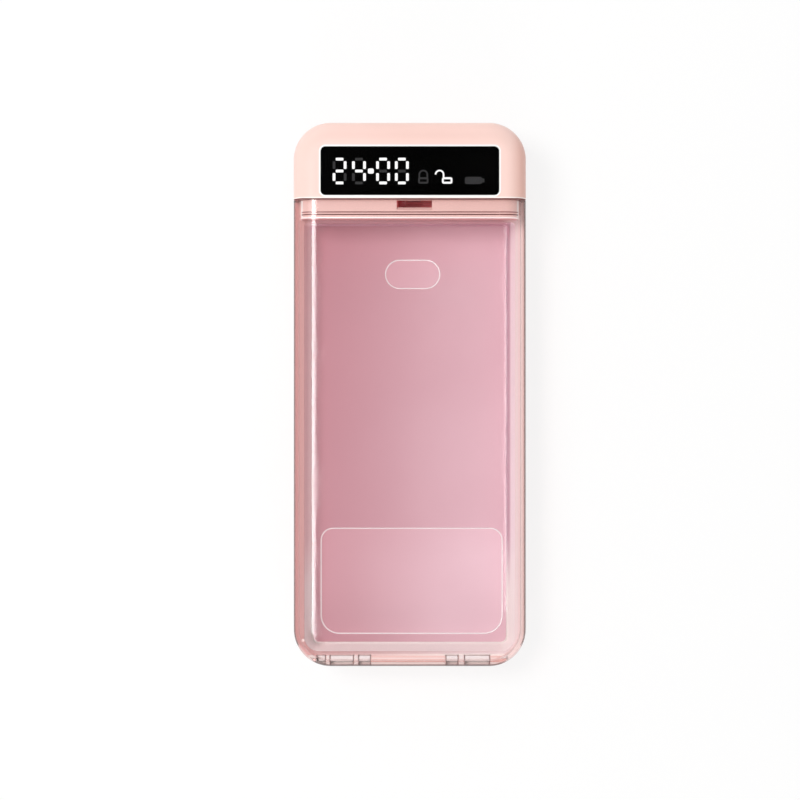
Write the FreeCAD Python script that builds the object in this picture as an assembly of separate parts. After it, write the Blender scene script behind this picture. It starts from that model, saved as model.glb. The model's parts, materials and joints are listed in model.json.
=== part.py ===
import FreeCAD, Part
import math
import os

# Timed lock container for a telephone, lying on its back. Millimetres. The origin is under the
# middle of the feet, +X points to the charging side, +Y to the display head and +Z out of the lid.

# Body envelope
BODY_WIDTH = 94.0
BODY_LENGTH = 220.0
BASE_HEIGHT = 14.0
LID_HEIGHT = 15.0
CORNER_RADIUS = 15.0
SHOULDER_RADIUS = 8.0
BACK_EDGE_RADIUS = 5.0
SHELL_WALL = 2.0

# Clearances
PARTING_GAP = 0.3
MOVING_GAP = 0.3
HEAD_GAP = 0.4
PIN_CLEARANCE = 0.05
BUTTON_CLEARANCE = 0.25
OVERCUT = 1.0
TOLERANCE = 1e-6
RIGHT_ANGLE = 90.0

# Feet
FOOT_HEIGHT = 1.0
FOOT_RADIUS = 4.0
FOOT_SINK = 0.5
FOOT_DOME = 0.3
FOOT_SIDE_INSET = 13.0
FOOT_END_INSET = 20.0

# Display head and the ledge that runs from it under the lid
HEAD_LENGTH = 31.15
LEDGE_LENGTH = 7.6
LEDGE_GAP = 0.8
LEDGE_EDGE_RADIUS = 0.9
LEDGE_GROOVE_INSET = 3.0
LEDGE_GROOVE_WIDTH = 0.5
LEDGE_GROOVE_DEPTH = 0.4
LEDGE_GROOVE_SETBACKS = (1.0, 2.0)
HEAD_END_WALL = 2.0

# Latch slot, hook and bolt
LATCH_X = 1.8
SLOT_WIDTH = 14.2
SLOT_LENGTH = 2.8
SLOT_SETBACK = 0.65
SLOT_BEVEL = 1.1
HOOK_WIDTH = 12.8
HOOK_THICKNESS = 1.6
HOOK_SETBACK = 0.45
HOOK_TOE = 1.1
HOOK_FOOT_RADIUS = 1.2
BOLT_WIDTH = 6.0
BOLT_HEIGHT = 3.0
BOLT_END_GAP = 1.0
BOLT_NOSE_CHAMFER = 0.6
BOLT_RISE = 0.5
BOLT_HOOK_GAP = 0.6
EYE_CLEARANCE = 0.4

# Rack and pinion
GEAR_MODULE = 0.5
PINION_TEETH = 12
PINION_WIDTH = 4.0
PRESSURE_ANGLE = 20.0
RACK_ADDENDUM = 0.35
RACK_ROOT_CLEARANCE = 0.1
GEAR_BACKLASH = 0.12
RACK_WIDTH = 4.7
RACK_LEAD_TEETH = 2
RACK_BED = 2.4
PINION_SIDE_GAP = 0.5
PINION_SETBACK = 12.0

# Gear motor
GEARBOX_LENGTH = 9.0
GEARBOX_WIDTH = 12.0
MOTOR_PORT_GAP = 3.8
MOTOR_TAIL_RADIUS = 2.5
MOTOR_TAIL_LENGTH = 1.0
SHAFT_RADIUS = 1.5
STRAP_WIDTH = 5.0
STRAP_THICKNESS = 0.8
STRAP_FOOT = 3.0

# Latch chassis
CHASSIS_PLATE = 1.3
CHASSIS_WALL = 1.6
CHASSIS_SETBACK = 1.6
CHASSIS_END_GAP = 0.275
STANDOFF_HEIGHT = 0.4
STANDOFF_RADIUS = 1.6
STANDOFF_INSET = 2.0
GUIDE_COVER_THICKNESS = 1.2
SHAFT_HOLE_RADIUS = 2.0
GUIDE_SCREW_RADIUS = 0.7
GUIDE_SCREW_HEAD_RADIUS = 1.3
GUIDE_SCREW_HEAD_HEIGHT = 0.8
GUIDE_SCREW_LENGTH = 5.0
GUIDE_SCREW_INSET = 2.5

# Telephone tray and mat
TRAY_FLOOR = 1.2
TRAY_WALL = 0.9
TRAY_FLANGE = 1.2
TRAY_RIM_INSET = 3.9
TRAY_SIDE_SLOPE = 2.5
TRAY_RIM_SETBACK = 5.0
TRAY_END_SLOPE = 2.1
TRAY_FLOOR_RADIUS = 3.2
TRAY_RIM_RADIUS = 6.0
TRAY_HEAD_RADIUS = 1.5
MAT_THICKNESS = 0.8
MAT_MARGIN = 0.8

# Lid openings
WINDOW_LEFT_MARGIN = 11.15
WINDOW_RIGHT_MARGIN = 9.75
WINDOW_LENGTH = 42.6
WINDOW_END_DISTANCE = 13.9
WINDOW_HEAD_RADIUS = 5.0
WINDOW_END_RADIUS = 7.5
PILL_X = 1.1
PILL_WIDTH = 22.2
PILL_LENGTH = 11.8
PILL_SETBACK = 23.05
OPENING_BEVEL = 0.4

# Hinge along the end of the box. Knuckles and pins are measured in from the side they are near.
BARREL_RADIUS = 1.7
HINGE_PIN_RADIUS = 0.6
HINGE_SIDE_INSET = 7.6
LEFT_KNUCKLES = ((9.0, 12.6), (14.6, 24.0), (26.2, 31.0))
RIGHT_KNUCKLES = ((32.2, 27.3), (24.6, 14.4))
LEFT_PIN = (9.8, 30.2)
RIGHT_PIN = (31.4, 12.8)
HINGE_RELIEF_DEPTH = 2.7
HINGE_RAIL_HEIGHT = 4.4

# Display
DISPLAY_SIDE_MARGIN = 11.1
DISPLAY_LENGTH = 19.65
DISPLAY_SETBACK = 1.175
DISPLAY_RADIUS = 2.0
BEZEL_WIDTH = 0.65
LENS_THICKNESS = 1.4
LENS_SINK = 0.2
SEGMENT_DEPTH = 1.2
SEGMENT_LONG = 3.1
SEGMENT_THICK = 1.12
DIGIT_WIDTH = 4.46
DIGIT_HALF_HEIGHT = 4.78
SEGMENT_ROUNDING = 0.3
DIGITS_SHOWN = ("2", "4", "0", "0")
DOT_SIZE = (2.4, 2.1)
LIT_SEGMENTS = {"0": "abcdef", "2": "abdeg", "4": "bcfg"}

# Places of the digits, the dot and the icons, as shares of the display's width
DIGIT_PLACES = (-0.3937, -0.2851, -0.1501, -0.0448)
DOT_PLACE = -0.2187
LOCKED_ICON_PLACE = 0.0752
UNLOCKED_ICON_PLACE = 0.2089
BATTERY_ICON_PLACE = 0.3565

# Status icons, beside the digits
ICON_DROP = 3.8
ICON_STROKE = 0.65
PADLOCK_SIZE = (4.2, 2.6)
PADLOCK_SLOT = (2.7, 1.0)
SHACKLE_RADIUS = 1.6
SHACKLE_RISE = 1.1
SHACKLE_SHIFT = 3.05
BATTERY_ICON_SIZE = (7.0, 2.9)
BATTERY_NUB = 0.9

# Boards
BOARD_THICKNESS = 1.6
BOARD_POST_GAP = 0.5
DISPLAY_BOARD_RISE = 6.4
DISPLAY_BOARD_SETBACK = 1.0
DISPLAY_BOARD_END_GAP = 3.425
MAIN_BOARD_HEAD_GAP = 0.75
MAIN_BOARD_END_GAP = 3.0
BOARD_BOSS_HEIGHT = 1.2
BOARD_BOSS_RADIUS = 2.0
BOARD_BOSS_SIDE_INSET = 5.5
BOARD_BOSS_INSET = 3.0
BOARD_TAB_MARGIN = 0.85
BOARD_TAB_GAP = 1.3
FLEX_WIDTH = 10.0
FLEX_THICKNESS = 0.3
FLEX_SIDE_GAP = 0.5
FLEX_END_GAP = 1.3

# Charging port on the +X side
PORT_POST_GAP = 1.05
PORT_WIDTH = 8.9
PORT_HEIGHT = 3.2
PORT_DEPTH = 7.4
PORT_SHELL = 0.35
PORT_RECESS = 0.4
PORT_HOLE_MARGIN = 0.25
PORT_TONGUE = (6.6, 0.7)
PORT_BACK = 1.0

# Battery cell and lid sensor
CELL_LENGTH = 20.5
CELL_HEIGHT = 6.8
CELL_RADIUS = 1.5
CELL_SIDE_GAP = 0.5
CELL_CHASSIS_GAP = 2.9
CELL_END_GAP = 2.75
SENSOR_HOOK_INSET = 1.45
SENSOR_WIDTH = 2.5
SENSOR_ARM = 1.2
SENSOR_RISE = 0.8
SENSOR_SLOT_REACH = 2.8
SENSOR_SLOT_GAP = 0.5

# Push buttons in the head's end face
BUTTON_PITCH = 17.0
BUTTON_DROP = 2.8
BUTTON_WIDTH = 9.0
BUTTON_HEIGHT = 4.4
BUTTON_FLANGE = 1.0
BUTTON_FLANGE_THICKNESS = 1.0
BUTTON_SINK = 0.15
BUTTON_EDGE = 0.35
BUTTON_STEM_RADIUS = 1.0
BUTTON_TRAVEL_GAP = 0.7
SWITCH_SIZE = (6.0, 3.2, 4.0)
SWITCH_PLUNGER_RADIUS = 0.8
SWITCH_PLUNGER_LENGTH = 0.6

# Screws that draw the head cover down from the back
END_SCREW_INSETS = (7.5, 8.5)
LEDGE_SCREW_INSETS = (8.0, 6.35)
SCREW_HEAD_RADIUS = 2.2
SCREW_HEAD_HEIGHT = 1.6
SCREW_RADIUS = 1.1
SCREW_LENGTH = 15.0
SCREW_SEAT_DEPTH = 3.0
SCREW_HEAD_CLEARANCE = 0.3
SCREW_SHANK_CLEARANCE = 0.2
SCREW_SOCKET_RADIUS = 0.9
SCREW_SOCKET_DEPTH = 0.8
SCREW_SOCKET_SIDES = 6
POST_RADIUS = 3.0
POST_TOP_GAP = 1.4

# Levels and places worked out from the sizes above
BACK_LEVEL = FOOT_HEIGHT
PARTING_LEVEL = BACK_LEVEL + BASE_HEIGHT
FRONT_LEVEL = PARTING_LEVEL + LID_HEIGHT
LID_EDGE_LEVEL = PARTING_LEVEL + PARTING_GAP
FLOOR_LEVEL = BACK_LEVEL + SHELL_WALL
CEILING_LEVEL = FRONT_LEVEL - SHELL_WALL
HALF_WIDTH = BODY_WIDTH / 2
HALF_LENGTH = BODY_LENGTH / 2
HEAD_FACE_Y = HALF_LENGTH - HEAD_LENGTH
LID_HEAD_Y = HEAD_FACE_Y - HEAD_GAP
LEDGE_Y = HEAD_FACE_Y - LEDGE_LENGTH
LEDGE_LEVEL = FRONT_LEVEL - SHELL_WALL - LEDGE_GAP
LEDGE_CEILING = LEDGE_LEVEL - SHELL_WALL
COMPARTMENT_Y = LEDGE_Y + SHELL_WALL
COMPARTMENT_END_Y = HALF_LENGTH - SHELL_WALL
SLOT_HEAD_Y = HEAD_FACE_Y - SLOT_SETBACK
HOOK_HEAD_Y = LID_HEAD_Y - HOOK_SETBACK
BOLT_LEVEL = PARTING_LEVEL + BOLT_RISE
HOOK_LEVEL = BOLT_LEVEL - EYE_CLEARANCE - HOOK_TOE
BOLT_REST_Y = HOOK_HEAD_Y + BOLT_HOOK_GAP
PITCH_RADIUS = GEAR_MODULE * PINION_TEETH / 2
RACK_PITCH_LEVEL = BOLT_LEVEL + BOLT_HEIGHT - RACK_BED - GEAR_MODULE - RACK_ROOT_CLEARANCE
PINION_LEVEL = RACK_PITCH_LEVEL - PITCH_RADIUS
PINION_Y = BOLT_REST_Y + PINION_SETBACK
PINION_X = LATCH_X + BOLT_WIDTH / 2 + PINION_SIDE_GAP
HINGE_Y = -HALF_LENGTH + BARREL_RADIUS
HINGE_LEVEL = PARTING_LEVEL
HINGE_HALF_SPAN = HALF_WIDTH - HINGE_SIDE_INSET
LID_KNUCKLES = tuple((start - HALF_WIDTH, end - HALF_WIDTH) for start, end in LEFT_KNUCKLES) + tuple(
    (HALF_WIDTH - start, HALF_WIDTH - end) for start, end in RIGHT_KNUCKLES
)
HINGE_PINS = (
    (LEFT_PIN[0] - HALF_WIDTH, LEFT_PIN[1] - HALF_WIDTH),
    (HALF_WIDTH - RIGHT_PIN[0], HALF_WIDTH - RIGHT_PIN[1]),
)
TRAY_HEAD_Y = LEDGE_Y - TRAY_WALL
TRAY_RIM_Y = -HALF_LENGTH + TRAY_RIM_SETBACK
TRAY_RIM_HALF = HALF_WIDTH - TRAY_RIM_INSET
TRAY_FLOOR_HALF = TRAY_RIM_HALF - TRAY_SIDE_SLOPE
TRAY_FLOOR_Y = TRAY_RIM_Y + TRAY_END_SLOPE
TRAY_FLOOR_LEVEL = FLOOR_LEVEL + TRAY_FLOOR
LENS_TOP = FRONT_LEVEL - LENS_SINK
MASK_TOP = LENS_TOP - LENS_THICKNESS
DISPLAY_WIDTH = BODY_WIDTH - 2 * DISPLAY_SIDE_MARGIN
DISPLAY_CENTRE_Y = HEAD_FACE_Y + DISPLAY_SETBACK + DISPLAY_LENGTH / 2
ICON_Y = DISPLAY_CENTRE_Y - ICON_DROP
DISPLAY_BOARD_LEVEL = PARTING_LEVEL + DISPLAY_BOARD_RISE
DISPLAY_BOARD_TOP = DISPLAY_BOARD_LEVEL + BOARD_THICKNESS
BUTTON_LEVEL = DISPLAY_BOARD_LEVEL - BUTTON_DROP
END_SCREW_X = HALF_WIDTH - END_SCREW_INSETS[0]
END_SCREW_Y = HALF_LENGTH - END_SCREW_INSETS[1]
LEDGE_SCREW_X = HALF_WIDTH - LEDGE_SCREW_INSETS[0]
LEDGE_SCREW_Y = LEDGE_Y + LEDGE_SCREW_INSETS[1]
MAIN_BOARD_LEVEL = FLOOR_LEVEL + BOARD_BOSS_HEIGHT
MAIN_BOARD_TOP = MAIN_BOARD_LEVEL + BOARD_THICKNESS
MAIN_BOARD_END_Y = COMPARTMENT_END_Y - MAIN_BOARD_END_GAP
MAIN_BOARD_Y = COMPARTMENT_Y + MAIN_BOARD_HEAD_GAP
MAIN_BOARD_HALF = LEDGE_SCREW_X - POST_RADIUS - BOARD_POST_GAP
BOARD_BOSS_X = MAIN_BOARD_HALF - BOARD_BOSS_SIDE_INSET
PORT_Y = END_SCREW_Y - POST_RADIUS - PORT_POST_GAP - PORT_WIDTH / 2
PORT_END_X = HALF_WIDTH - PORT_RECESS
PORT_X = PORT_END_X - PORT_DEPTH
SWITCH_END_Y = COMPARTMENT_END_Y - DISPLAY_BOARD_END_GAP
CHASSIS_X = LATCH_X - BOLT_WIDTH / 2 - MOVING_GAP - CHASSIS_WALL
GEARBOX_X = LATCH_X + BOLT_WIDTH / 2 + RACK_WIDTH + MOVING_GAP + CHASSIS_WALL
CHASSIS_Y = BOLT_REST_Y + CHASSIS_SETBACK
CHASSIS_END_Y = SWITCH_END_Y - SWITCH_SIZE[1] - CHASSIS_END_GAP
CHASSIS_PLATE_LEVEL = MAIN_BOARD_TOP + STANDOFF_HEIGHT
CHASSIS_PLATE_TOP = CHASSIS_PLATE_LEVEL + CHASSIS_PLATE
GEARBOX_TOP = 2 * PINION_LEVEL - CHASSIS_PLATE_TOP
GUIDE_LEVEL = BOLT_LEVEL + BOLT_HEIGHT + MOVING_GAP
MOTOR_X = GEARBOX_X + GEARBOX_LENGTH
MOTOR_END_X = PORT_X - MOTOR_PORT_GAP
SENSOR_X = LATCH_X - HOOK_WIDTH / 2 + SENSOR_HOOK_INSET
SCREW_SEAT_LEVEL = BACK_LEVEL + SCREW_SEAT_DEPTH
DISPLAY_BOARD_Y = DISPLAY_CENTRE_Y - DISPLAY_LENGTH / 2 - BEZEL_WIDTH + DISPLAY_BOARD_SETBACK


def vector(x, y, z):
    """A point or direction."""
    return FreeCAD.Vector(x, y, z)


def box(x0, x1, y0, y1, z0, z1):
    """A box between two corners."""
    return Part.makeBox(x1 - x0, y1 - y0, z1 - z0, vector(x0, y0, z0))


def upright(x, y, radius, z0, z1):
    """A cylinder along Z."""
    return Part.makeCylinder(radius, z1 - z0, vector(x, y, z0), vector(0, 0, 1))


def crossrod(x0, x1, y, z, radius):
    """A cylinder along X."""
    return Part.makeCylinder(radius, x1 - x0, vector(x0, y, z), vector(1, 0, 0))


def rounded_wire(x0, x1, y0, y1, z, low_radius, high_radius):
    """A rounded rectangle with one radius at the two -Y corners and another at the two +Y corners."""
    corners = (
        (x1 - high_radius, y1 - high_radius, high_radius),
        (x0 + high_radius, y1 - high_radius, high_radius),
        (x0 + low_radius, y0 + low_radius, low_radius),
        (x1 - low_radius, y0 + low_radius, low_radius),
    )
    arcs = []
    for quarter, (x, y, radius) in enumerate(corners):
        points = []
        for share in (0, 1 / 2, 1):
            turn = math.radians((quarter + share) * RIGHT_ANGLE)
            points.append(vector(x + radius * math.cos(turn), y + radius * math.sin(turn), z))
        arcs.append(Part.Arc(*points).toShape())
    edges = []
    for index, arc in enumerate(arcs):
        following = arcs[(index + 1) % len(arcs)]
        edges.append(arc)
        start = arc.Vertexes[-1].Point
        end = following.Vertexes[0].Point
        if start.distanceToPoint(end) > TOLERANCE:
            edges.append(Part.LineSegment(start, end).toShape())
    return Part.Wire(edges)


def rounded_plate(x0, x1, y0, y1, z0, z1, low_radius, high_radius=None):
    """An upright prism with a rounded rectangle as its plan."""
    high_radius = low_radius if high_radius is None else high_radius
    face = Part.Face(rounded_wire(x0, x1, y0, y1, z0, low_radius, high_radius))
    return face.extrude(vector(0, 0, z1 - z0))


def flat_edges(shape, level):
    """The edges of a shape that lie wholly at one height."""
    return [
        edge
        for edge in shape.Edges
        if all(abs(vertex.Z - level) < TOLERANCE for vertex in edge.Vertexes)
        and abs(edge.BoundBox.ZLength) < TOLERANCE
    ]


def envelope(inset):
    """The whole outer form, drawn in on every side by an inset."""
    half_width = HALF_WIDTH - inset
    half_length = HALF_LENGTH - inset
    low = BACK_LEVEL + inset
    high = FRONT_LEVEL - inset
    block = rounded_plate(
        -half_width, half_width, -half_length, half_length, low, high, CORNER_RADIUS - inset
    )
    block = block.makeFillet(SHOULDER_RADIUS - inset, flat_edges(block, high))
    return block.makeFillet(BACK_EDGE_RADIUS - inset, flat_edges(block, low))


def slab(y0, y1, z0, z1):
    """A slice wider than the body, used to take one stretch of an envelope."""
    return box(-BODY_WIDTH, BODY_WIDTH, y0, y1, z0, z1)


def knuckle_gaps():
    """The stretches of the hinge line that hold no lid knuckle."""
    edges = [-HINGE_HALF_SPAN]
    for start, end in LID_KNUCKLES:
        edges += [start, end]
    edges.append(HINGE_HALF_SPAN)
    return list(zip(edges[0::2], edges[1::2]))


def barrels(ranges, radius):
    """Cylinders round the hinge axis over the given stretches."""
    rods = [crossrod(start, end, HINGE_Y, HINGE_LEVEL, radius) for start, end in ranges]
    return rods[0].multiFuse(rods[1:])


def screw_points():
    """The four places of the head cover's screws."""
    return [
        (side * x, y)
        for x, y in ((END_SCREW_X, END_SCREW_Y), (LEDGE_SCREW_X, LEDGE_SCREW_Y))
        for side in (-1, 1)
    ]


def foot_points():
    """The four places of the feet."""
    x = HALF_WIDTH - FOOT_SIDE_INSET
    y = HALF_LENGTH - FOOT_END_INSET
    return [(side * x, end * y) for side in (-1, 1) for end in (-1, 1)]


def base_shell():
    """Back shell: tub, compartment wall, hinge rail with its knuckles, screw posts and board bosses."""
    outer = envelope(0)
    inner = envelope(SHELL_WALL)
    shell = outer.common(slab(-BODY_LENGTH, BODY_LENGTH, 0, PARTING_LEVEL)).cut(inner)
    additions = [
        inner.common(slab(LEDGE_Y, COMPARTMENT_Y, 0, PARTING_LEVEL)),
        outer.common(
            box(
                -HINGE_HALF_SPAN,
                HINGE_HALF_SPAN,
                -HALF_LENGTH,
                TRAY_RIM_Y - TRAY_WALL,
                PARTING_LEVEL - HINGE_RAIL_HEIGHT,
                PARTING_LEVEL,
            )
        ),
    ]
    additions += [
        inner.common(upright(x, y, POST_RADIUS, BACK_LEVEL, PARTING_LEVEL)) for x, y in screw_points()
    ]
    additions += [
        upright(x, y, BOARD_BOSS_RADIUS, BACK_LEVEL + SHELL_WALL / 2, MAIN_BOARD_LEVEL)
        for x in (-BOARD_BOSS_X, BOARD_BOSS_X)
        for y in (MAIN_BOARD_Y + BOARD_BOSS_INSET, MAIN_BOARD_END_Y - BOARD_BOSS_INSET)
    ]
    shell = shell.multiFuse(additions)
    relief = box(
        -HINGE_HALF_SPAN,
        HINGE_HALF_SPAN,
        -HALF_LENGTH - OVERCUT,
        HINGE_Y,
        PARTING_LEVEL - HINGE_RELIEF_DEPTH,
        PARTING_LEVEL + OVERCUT,
    )
    grooves = [(start - MOVING_GAP, end + MOVING_GAP) for start, end in LID_KNUCKLES]
    cuts = [relief, barrels(grooves, BARREL_RADIUS + MOVING_GAP)]
    cuts += [
        upright(x, y, SCREW_HEAD_RADIUS + SCREW_HEAD_CLEARANCE, 0, SCREW_SEAT_LEVEL)
        for x, y in screw_points()
    ]
    cuts += [
        upright(x, y, SCREW_RADIUS + SCREW_SHANK_CLEARANCE, 0, PARTING_LEVEL + OVERCUT)
        for x, y in screw_points()
    ]
    cuts += [upright(x, y, FOOT_RADIUS, 0, BACK_LEVEL + FOOT_SINK) for x, y in foot_points()]
    cuts.append(port_hole())
    shell = shell.cut(cuts)
    stretches = knuckle_gaps()
    knuckles = [
        (
            start + (MOVING_GAP if index else 0),
            end - (MOVING_GAP if index < len(stretches) - 1 else 0),
        )
        for index, (start, end) in enumerate(stretches)
    ]
    shell = shell.fuse(outer.common(barrels(knuckles, BARREL_RADIUS)))
    return shell.cut(barrels(HINGE_PINS, HINGE_PIN_RADIUS)).removeSplitter()


def port_hole():
    """The charging port's hole through the +X wall."""
    half = PORT_WIDTH / 2 + PORT_HOLE_MARGIN
    low = MAIN_BOARD_TOP - PORT_HOLE_MARGIN
    high = MAIN_BOARD_TOP + PORT_HEIGHT + PORT_HOLE_MARGIN
    x0 = HALF_WIDTH - SHELL_WALL - OVERCUT
    hole = box(x0, HALF_WIDTH + OVERCUT, PORT_Y - half, PORT_Y + half, low, high)
    long_edges = [edge for edge in hole.Edges if edge.BoundBox.XLength > SHELL_WALL]
    return hole.makeFillet((high - low) / 2 - PORT_HOLE_MARGIN / 2, long_edges)


def feet():
    """Four domed rubber feet, sunk into the back."""
    pads = []
    for x, y in foot_points():
        pad = upright(x, y, FOOT_RADIUS, 0, BACK_LEVEL + FOOT_SINK)
        pads.append(pad.makeChamfer(FOOT_DOME, flat_edges(pad, 0)))
    return Part.makeCompound(pads)


def tray_form(spread, low, head_y):
    """The basin's form from its floor to the rim, widened at the sides and the end by a spread."""
    levels = (
        (low, TRAY_FLOOR_HALF, TRAY_FLOOR_Y, TRAY_FLOOR_RADIUS),
        (PARTING_LEVEL, TRAY_RIM_HALF, TRAY_RIM_Y, TRAY_RIM_RADIUS),
    )
    wires = [
        rounded_wire(
            -half - spread, half + spread, end_y - spread, head_y, level, radius + spread, TRAY_HEAD_RADIUS
        )
        for level, half, end_y, radius in levels
    ]
    return Part.makeLoft(wires, True, True)


def phone_tray():
    """Inner tray: a basin with sloping sides, and a flange that closes the gap to the base shell."""
    hollow = tray_form(0, TRAY_FLOOR_LEVEL, TRAY_HEAD_Y)
    basin = tray_form(TRAY_WALL, FLOOR_LEVEL, LEDGE_Y)
    inside = envelope(SHELL_WALL)
    flange = inside.common(slab(TRAY_RIM_Y - TRAY_WALL, LEDGE_Y, PARTING_LEVEL - TRAY_FLANGE, PARTING_LEVEL))
    return basin.common(inside).fuse(flange).cut(hollow).removeSplitter()


def phone_mat():
    """Soft mat on the tray's floor."""
    half = TRAY_FLOOR_HALF - MAT_MARGIN
    return rounded_plate(
        -half,
        half,
        TRAY_FLOOR_Y + MAT_MARGIN,
        TRAY_HEAD_Y - MAT_MARGIN,
        TRAY_FLOOR_LEVEL,
        TRAY_FLOOR_LEVEL + MAT_THICKNESS,
        TRAY_FLOOR_RADIUS - MAT_MARGIN,
        TRAY_HEAD_RADIUS,
    )


def lid_opening(x0, x1, y0, y1, low_radius, high_radius):
    """A hole through the lid's plate with a fine bevel round its outer edge."""
    hole = rounded_plate(x0, x1, y0, y1, CEILING_LEVEL - OVERCUT, FRONT_LEVEL, low_radius, high_radius)
    spread = 2 * OPENING_BEVEL
    flare = Part.makeLoft(
        [
            rounded_wire(x0, x1, y0, y1, FRONT_LEVEL - OPENING_BEVEL, low_radius, high_radius),
            rounded_wire(
                x0 - spread,
                x1 + spread,
                y0 - spread,
                y1 + spread,
                FRONT_LEVEL + OPENING_BEVEL,
                low_radius + spread,
                high_radius + spread,
            ),
        ],
        True,
        True,
    )
    return [hole, flare]


def latch_hook():
    """The tab under the lid's head end, with the eye that the bolt enters."""
    tab = box(
        LATCH_X - HOOK_WIDTH / 2,
        LATCH_X + HOOK_WIDTH / 2,
        HOOK_HEAD_Y - HOOK_THICKNESS,
        HOOK_HEAD_Y,
        HOOK_LEVEL,
        CEILING_LEVEL + SHELL_WALL / 2,
    )
    corners = [edge for edge in flat_edges(tab, HOOK_LEVEL) if edge.BoundBox.XLength < TOLERANCE]
    tab = tab.makeFillet(HOOK_FOOT_RADIUS, corners)
    half = BOLT_WIDTH / 2 + EYE_CLEARANCE
    eye = box(
        LATCH_X - half,
        LATCH_X + half,
        HOOK_HEAD_Y - HOOK_THICKNESS - OVERCUT,
        HOOK_HEAD_Y + OVERCUT,
        BOLT_LEVEL - EYE_CLEARANCE,
        BOLT_LEVEL + BOLT_HEIGHT + EYE_CLEARANCE,
    )
    return tab.cut(eye)


def clear_lid():
    """Clear lid: shell, touch window, upper opening, latch hook and hinge knuckles."""
    outer = envelope(0)
    reach = slab(-BODY_LENGTH, LID_HEAD_Y, LID_EDGE_LEVEL, BODY_LENGTH)
    lid = outer.common(reach).cut(envelope(SHELL_WALL))
    window_y = -HALF_LENGTH + WINDOW_END_DISTANCE
    cuts = [barrels(knuckle_gaps(), BARREL_RADIUS + MOVING_GAP)]
    cuts += lid_opening(
        WINDOW_LEFT_MARGIN - HALF_WIDTH,
        HALF_WIDTH - WINDOW_RIGHT_MARGIN,
        window_y,
        window_y + WINDOW_LENGTH,
        WINDOW_END_RADIUS,
        WINDOW_HEAD_RADIUS,
    )
    half = PILL_WIDTH / 2
    radius = PILL_LENGTH / 2
    pill_y = LEDGE_Y - PILL_SETBACK
    cuts += lid_opening(PILL_X - half, PILL_X + half, pill_y - radius, pill_y + radius, radius, radius)
    lid = lid.cut(cuts)
    lid = lid.multiFuse([outer.common(barrels(LID_KNUCKLES, BARREL_RADIUS)), latch_hook()])
    return lid.cut(barrels(HINGE_PINS, HINGE_PIN_RADIUS + PIN_CLEARANCE)).removeSplitter()


def hinge_pins():
    """Two steel pins, pressed into the base's knuckles."""
    return Part.makeCompound(
        [crossrod(start, end, HINGE_Y, HINGE_LEVEL, HINGE_PIN_RADIUS) for start, end in HINGE_PINS]
    )


def ledge_form(inset, start_y, end_y):
    """A bar along Y that follows the inside of the lid, drawn in by an inset."""
    depth = SHELL_WALL + LEDGE_GAP + inset
    half = HALF_WIDTH - depth
    top = FRONT_LEVEL - depth
    bar = box(-half, half, start_y, end_y, PARTING_LEVEL, top)
    long_edges = [edge for edge in flat_edges(bar, top) if edge.BoundBox.XLength < TOLERANCE]
    return bar.makeFillet(SHOULDER_RADIUS - depth, long_edges)


def ledge_block():
    """The stepped ledge under the lid, with two fine grooves near its front edge."""
    block = ledge_form(0, LEDGE_Y, HEAD_FACE_Y + HEAD_END_WALL)
    rim = [
        edge
        for edge in block.Edges
        if edge.BoundBox.YMax < LEDGE_Y + TOLERANCE and edge.BoundBox.ZMax > PARTING_LEVEL + TOLERANCE
    ]
    block = block.makeFillet(LEDGE_EDGE_RADIUS, rim)
    half = HALF_WIDTH - SHOULDER_RADIUS - LEDGE_GROOVE_INSET
    grooves = [
        box(
            -half,
            half,
            LEDGE_Y + setback,
            LEDGE_Y + setback + LEDGE_GROOVE_WIDTH,
            LEDGE_LEVEL - LEDGE_GROOVE_DEPTH,
            LEDGE_LEVEL + OVERCUT,
        )
        for setback in LEDGE_GROOVE_SETBACKS
    ]
    return block.cut(grooves)


def latch_slot():
    """The slot for the hook, with a lead-in bevel on its front side."""
    x0 = LATCH_X - SLOT_WIDTH / 2
    y0 = SLOT_HEAD_Y - SLOT_LENGTH
    slot = box(x0, x0 + SLOT_WIDTH, y0, SLOT_HEAD_Y, LEDGE_CEILING - OVERCUT, LEDGE_LEVEL + OVERCUT)
    profile = Part.makePolygon(
        [
            vector(x0, y0 - SLOT_BEVEL, LEDGE_LEVEL),
            vector(x0, y0, LEDGE_LEVEL - SLOT_BEVEL),
            vector(x0, y0, LEDGE_LEVEL),
            vector(x0, y0 - SLOT_BEVEL, LEDGE_LEVEL),
        ]
    )
    return slot.fuse(Part.Face(profile).extrude(vector(SLOT_WIDTH, 0, 0)))


def pill(width, height, y0, y1, x, z):
    """A pill-shaped prism along Y, centred at x and z."""
    radius = height / 2
    reach = width / 2 - radius
    middle = box(x - reach, x + reach, y0, y1, z - radius, z + radius)
    ends = [
        Part.makeCylinder(radius, y1 - y0, vector(x + side * reach, y0, z), vector(0, 1, 0))
        for side in (-1, 1)
    ]
    return middle.multiFuse(ends).removeSplitter()


def button_places():
    """The X places of the three push buttons, from left to right."""
    return [index * BUTTON_PITCH for index in (-1, 0, 1)]


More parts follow.
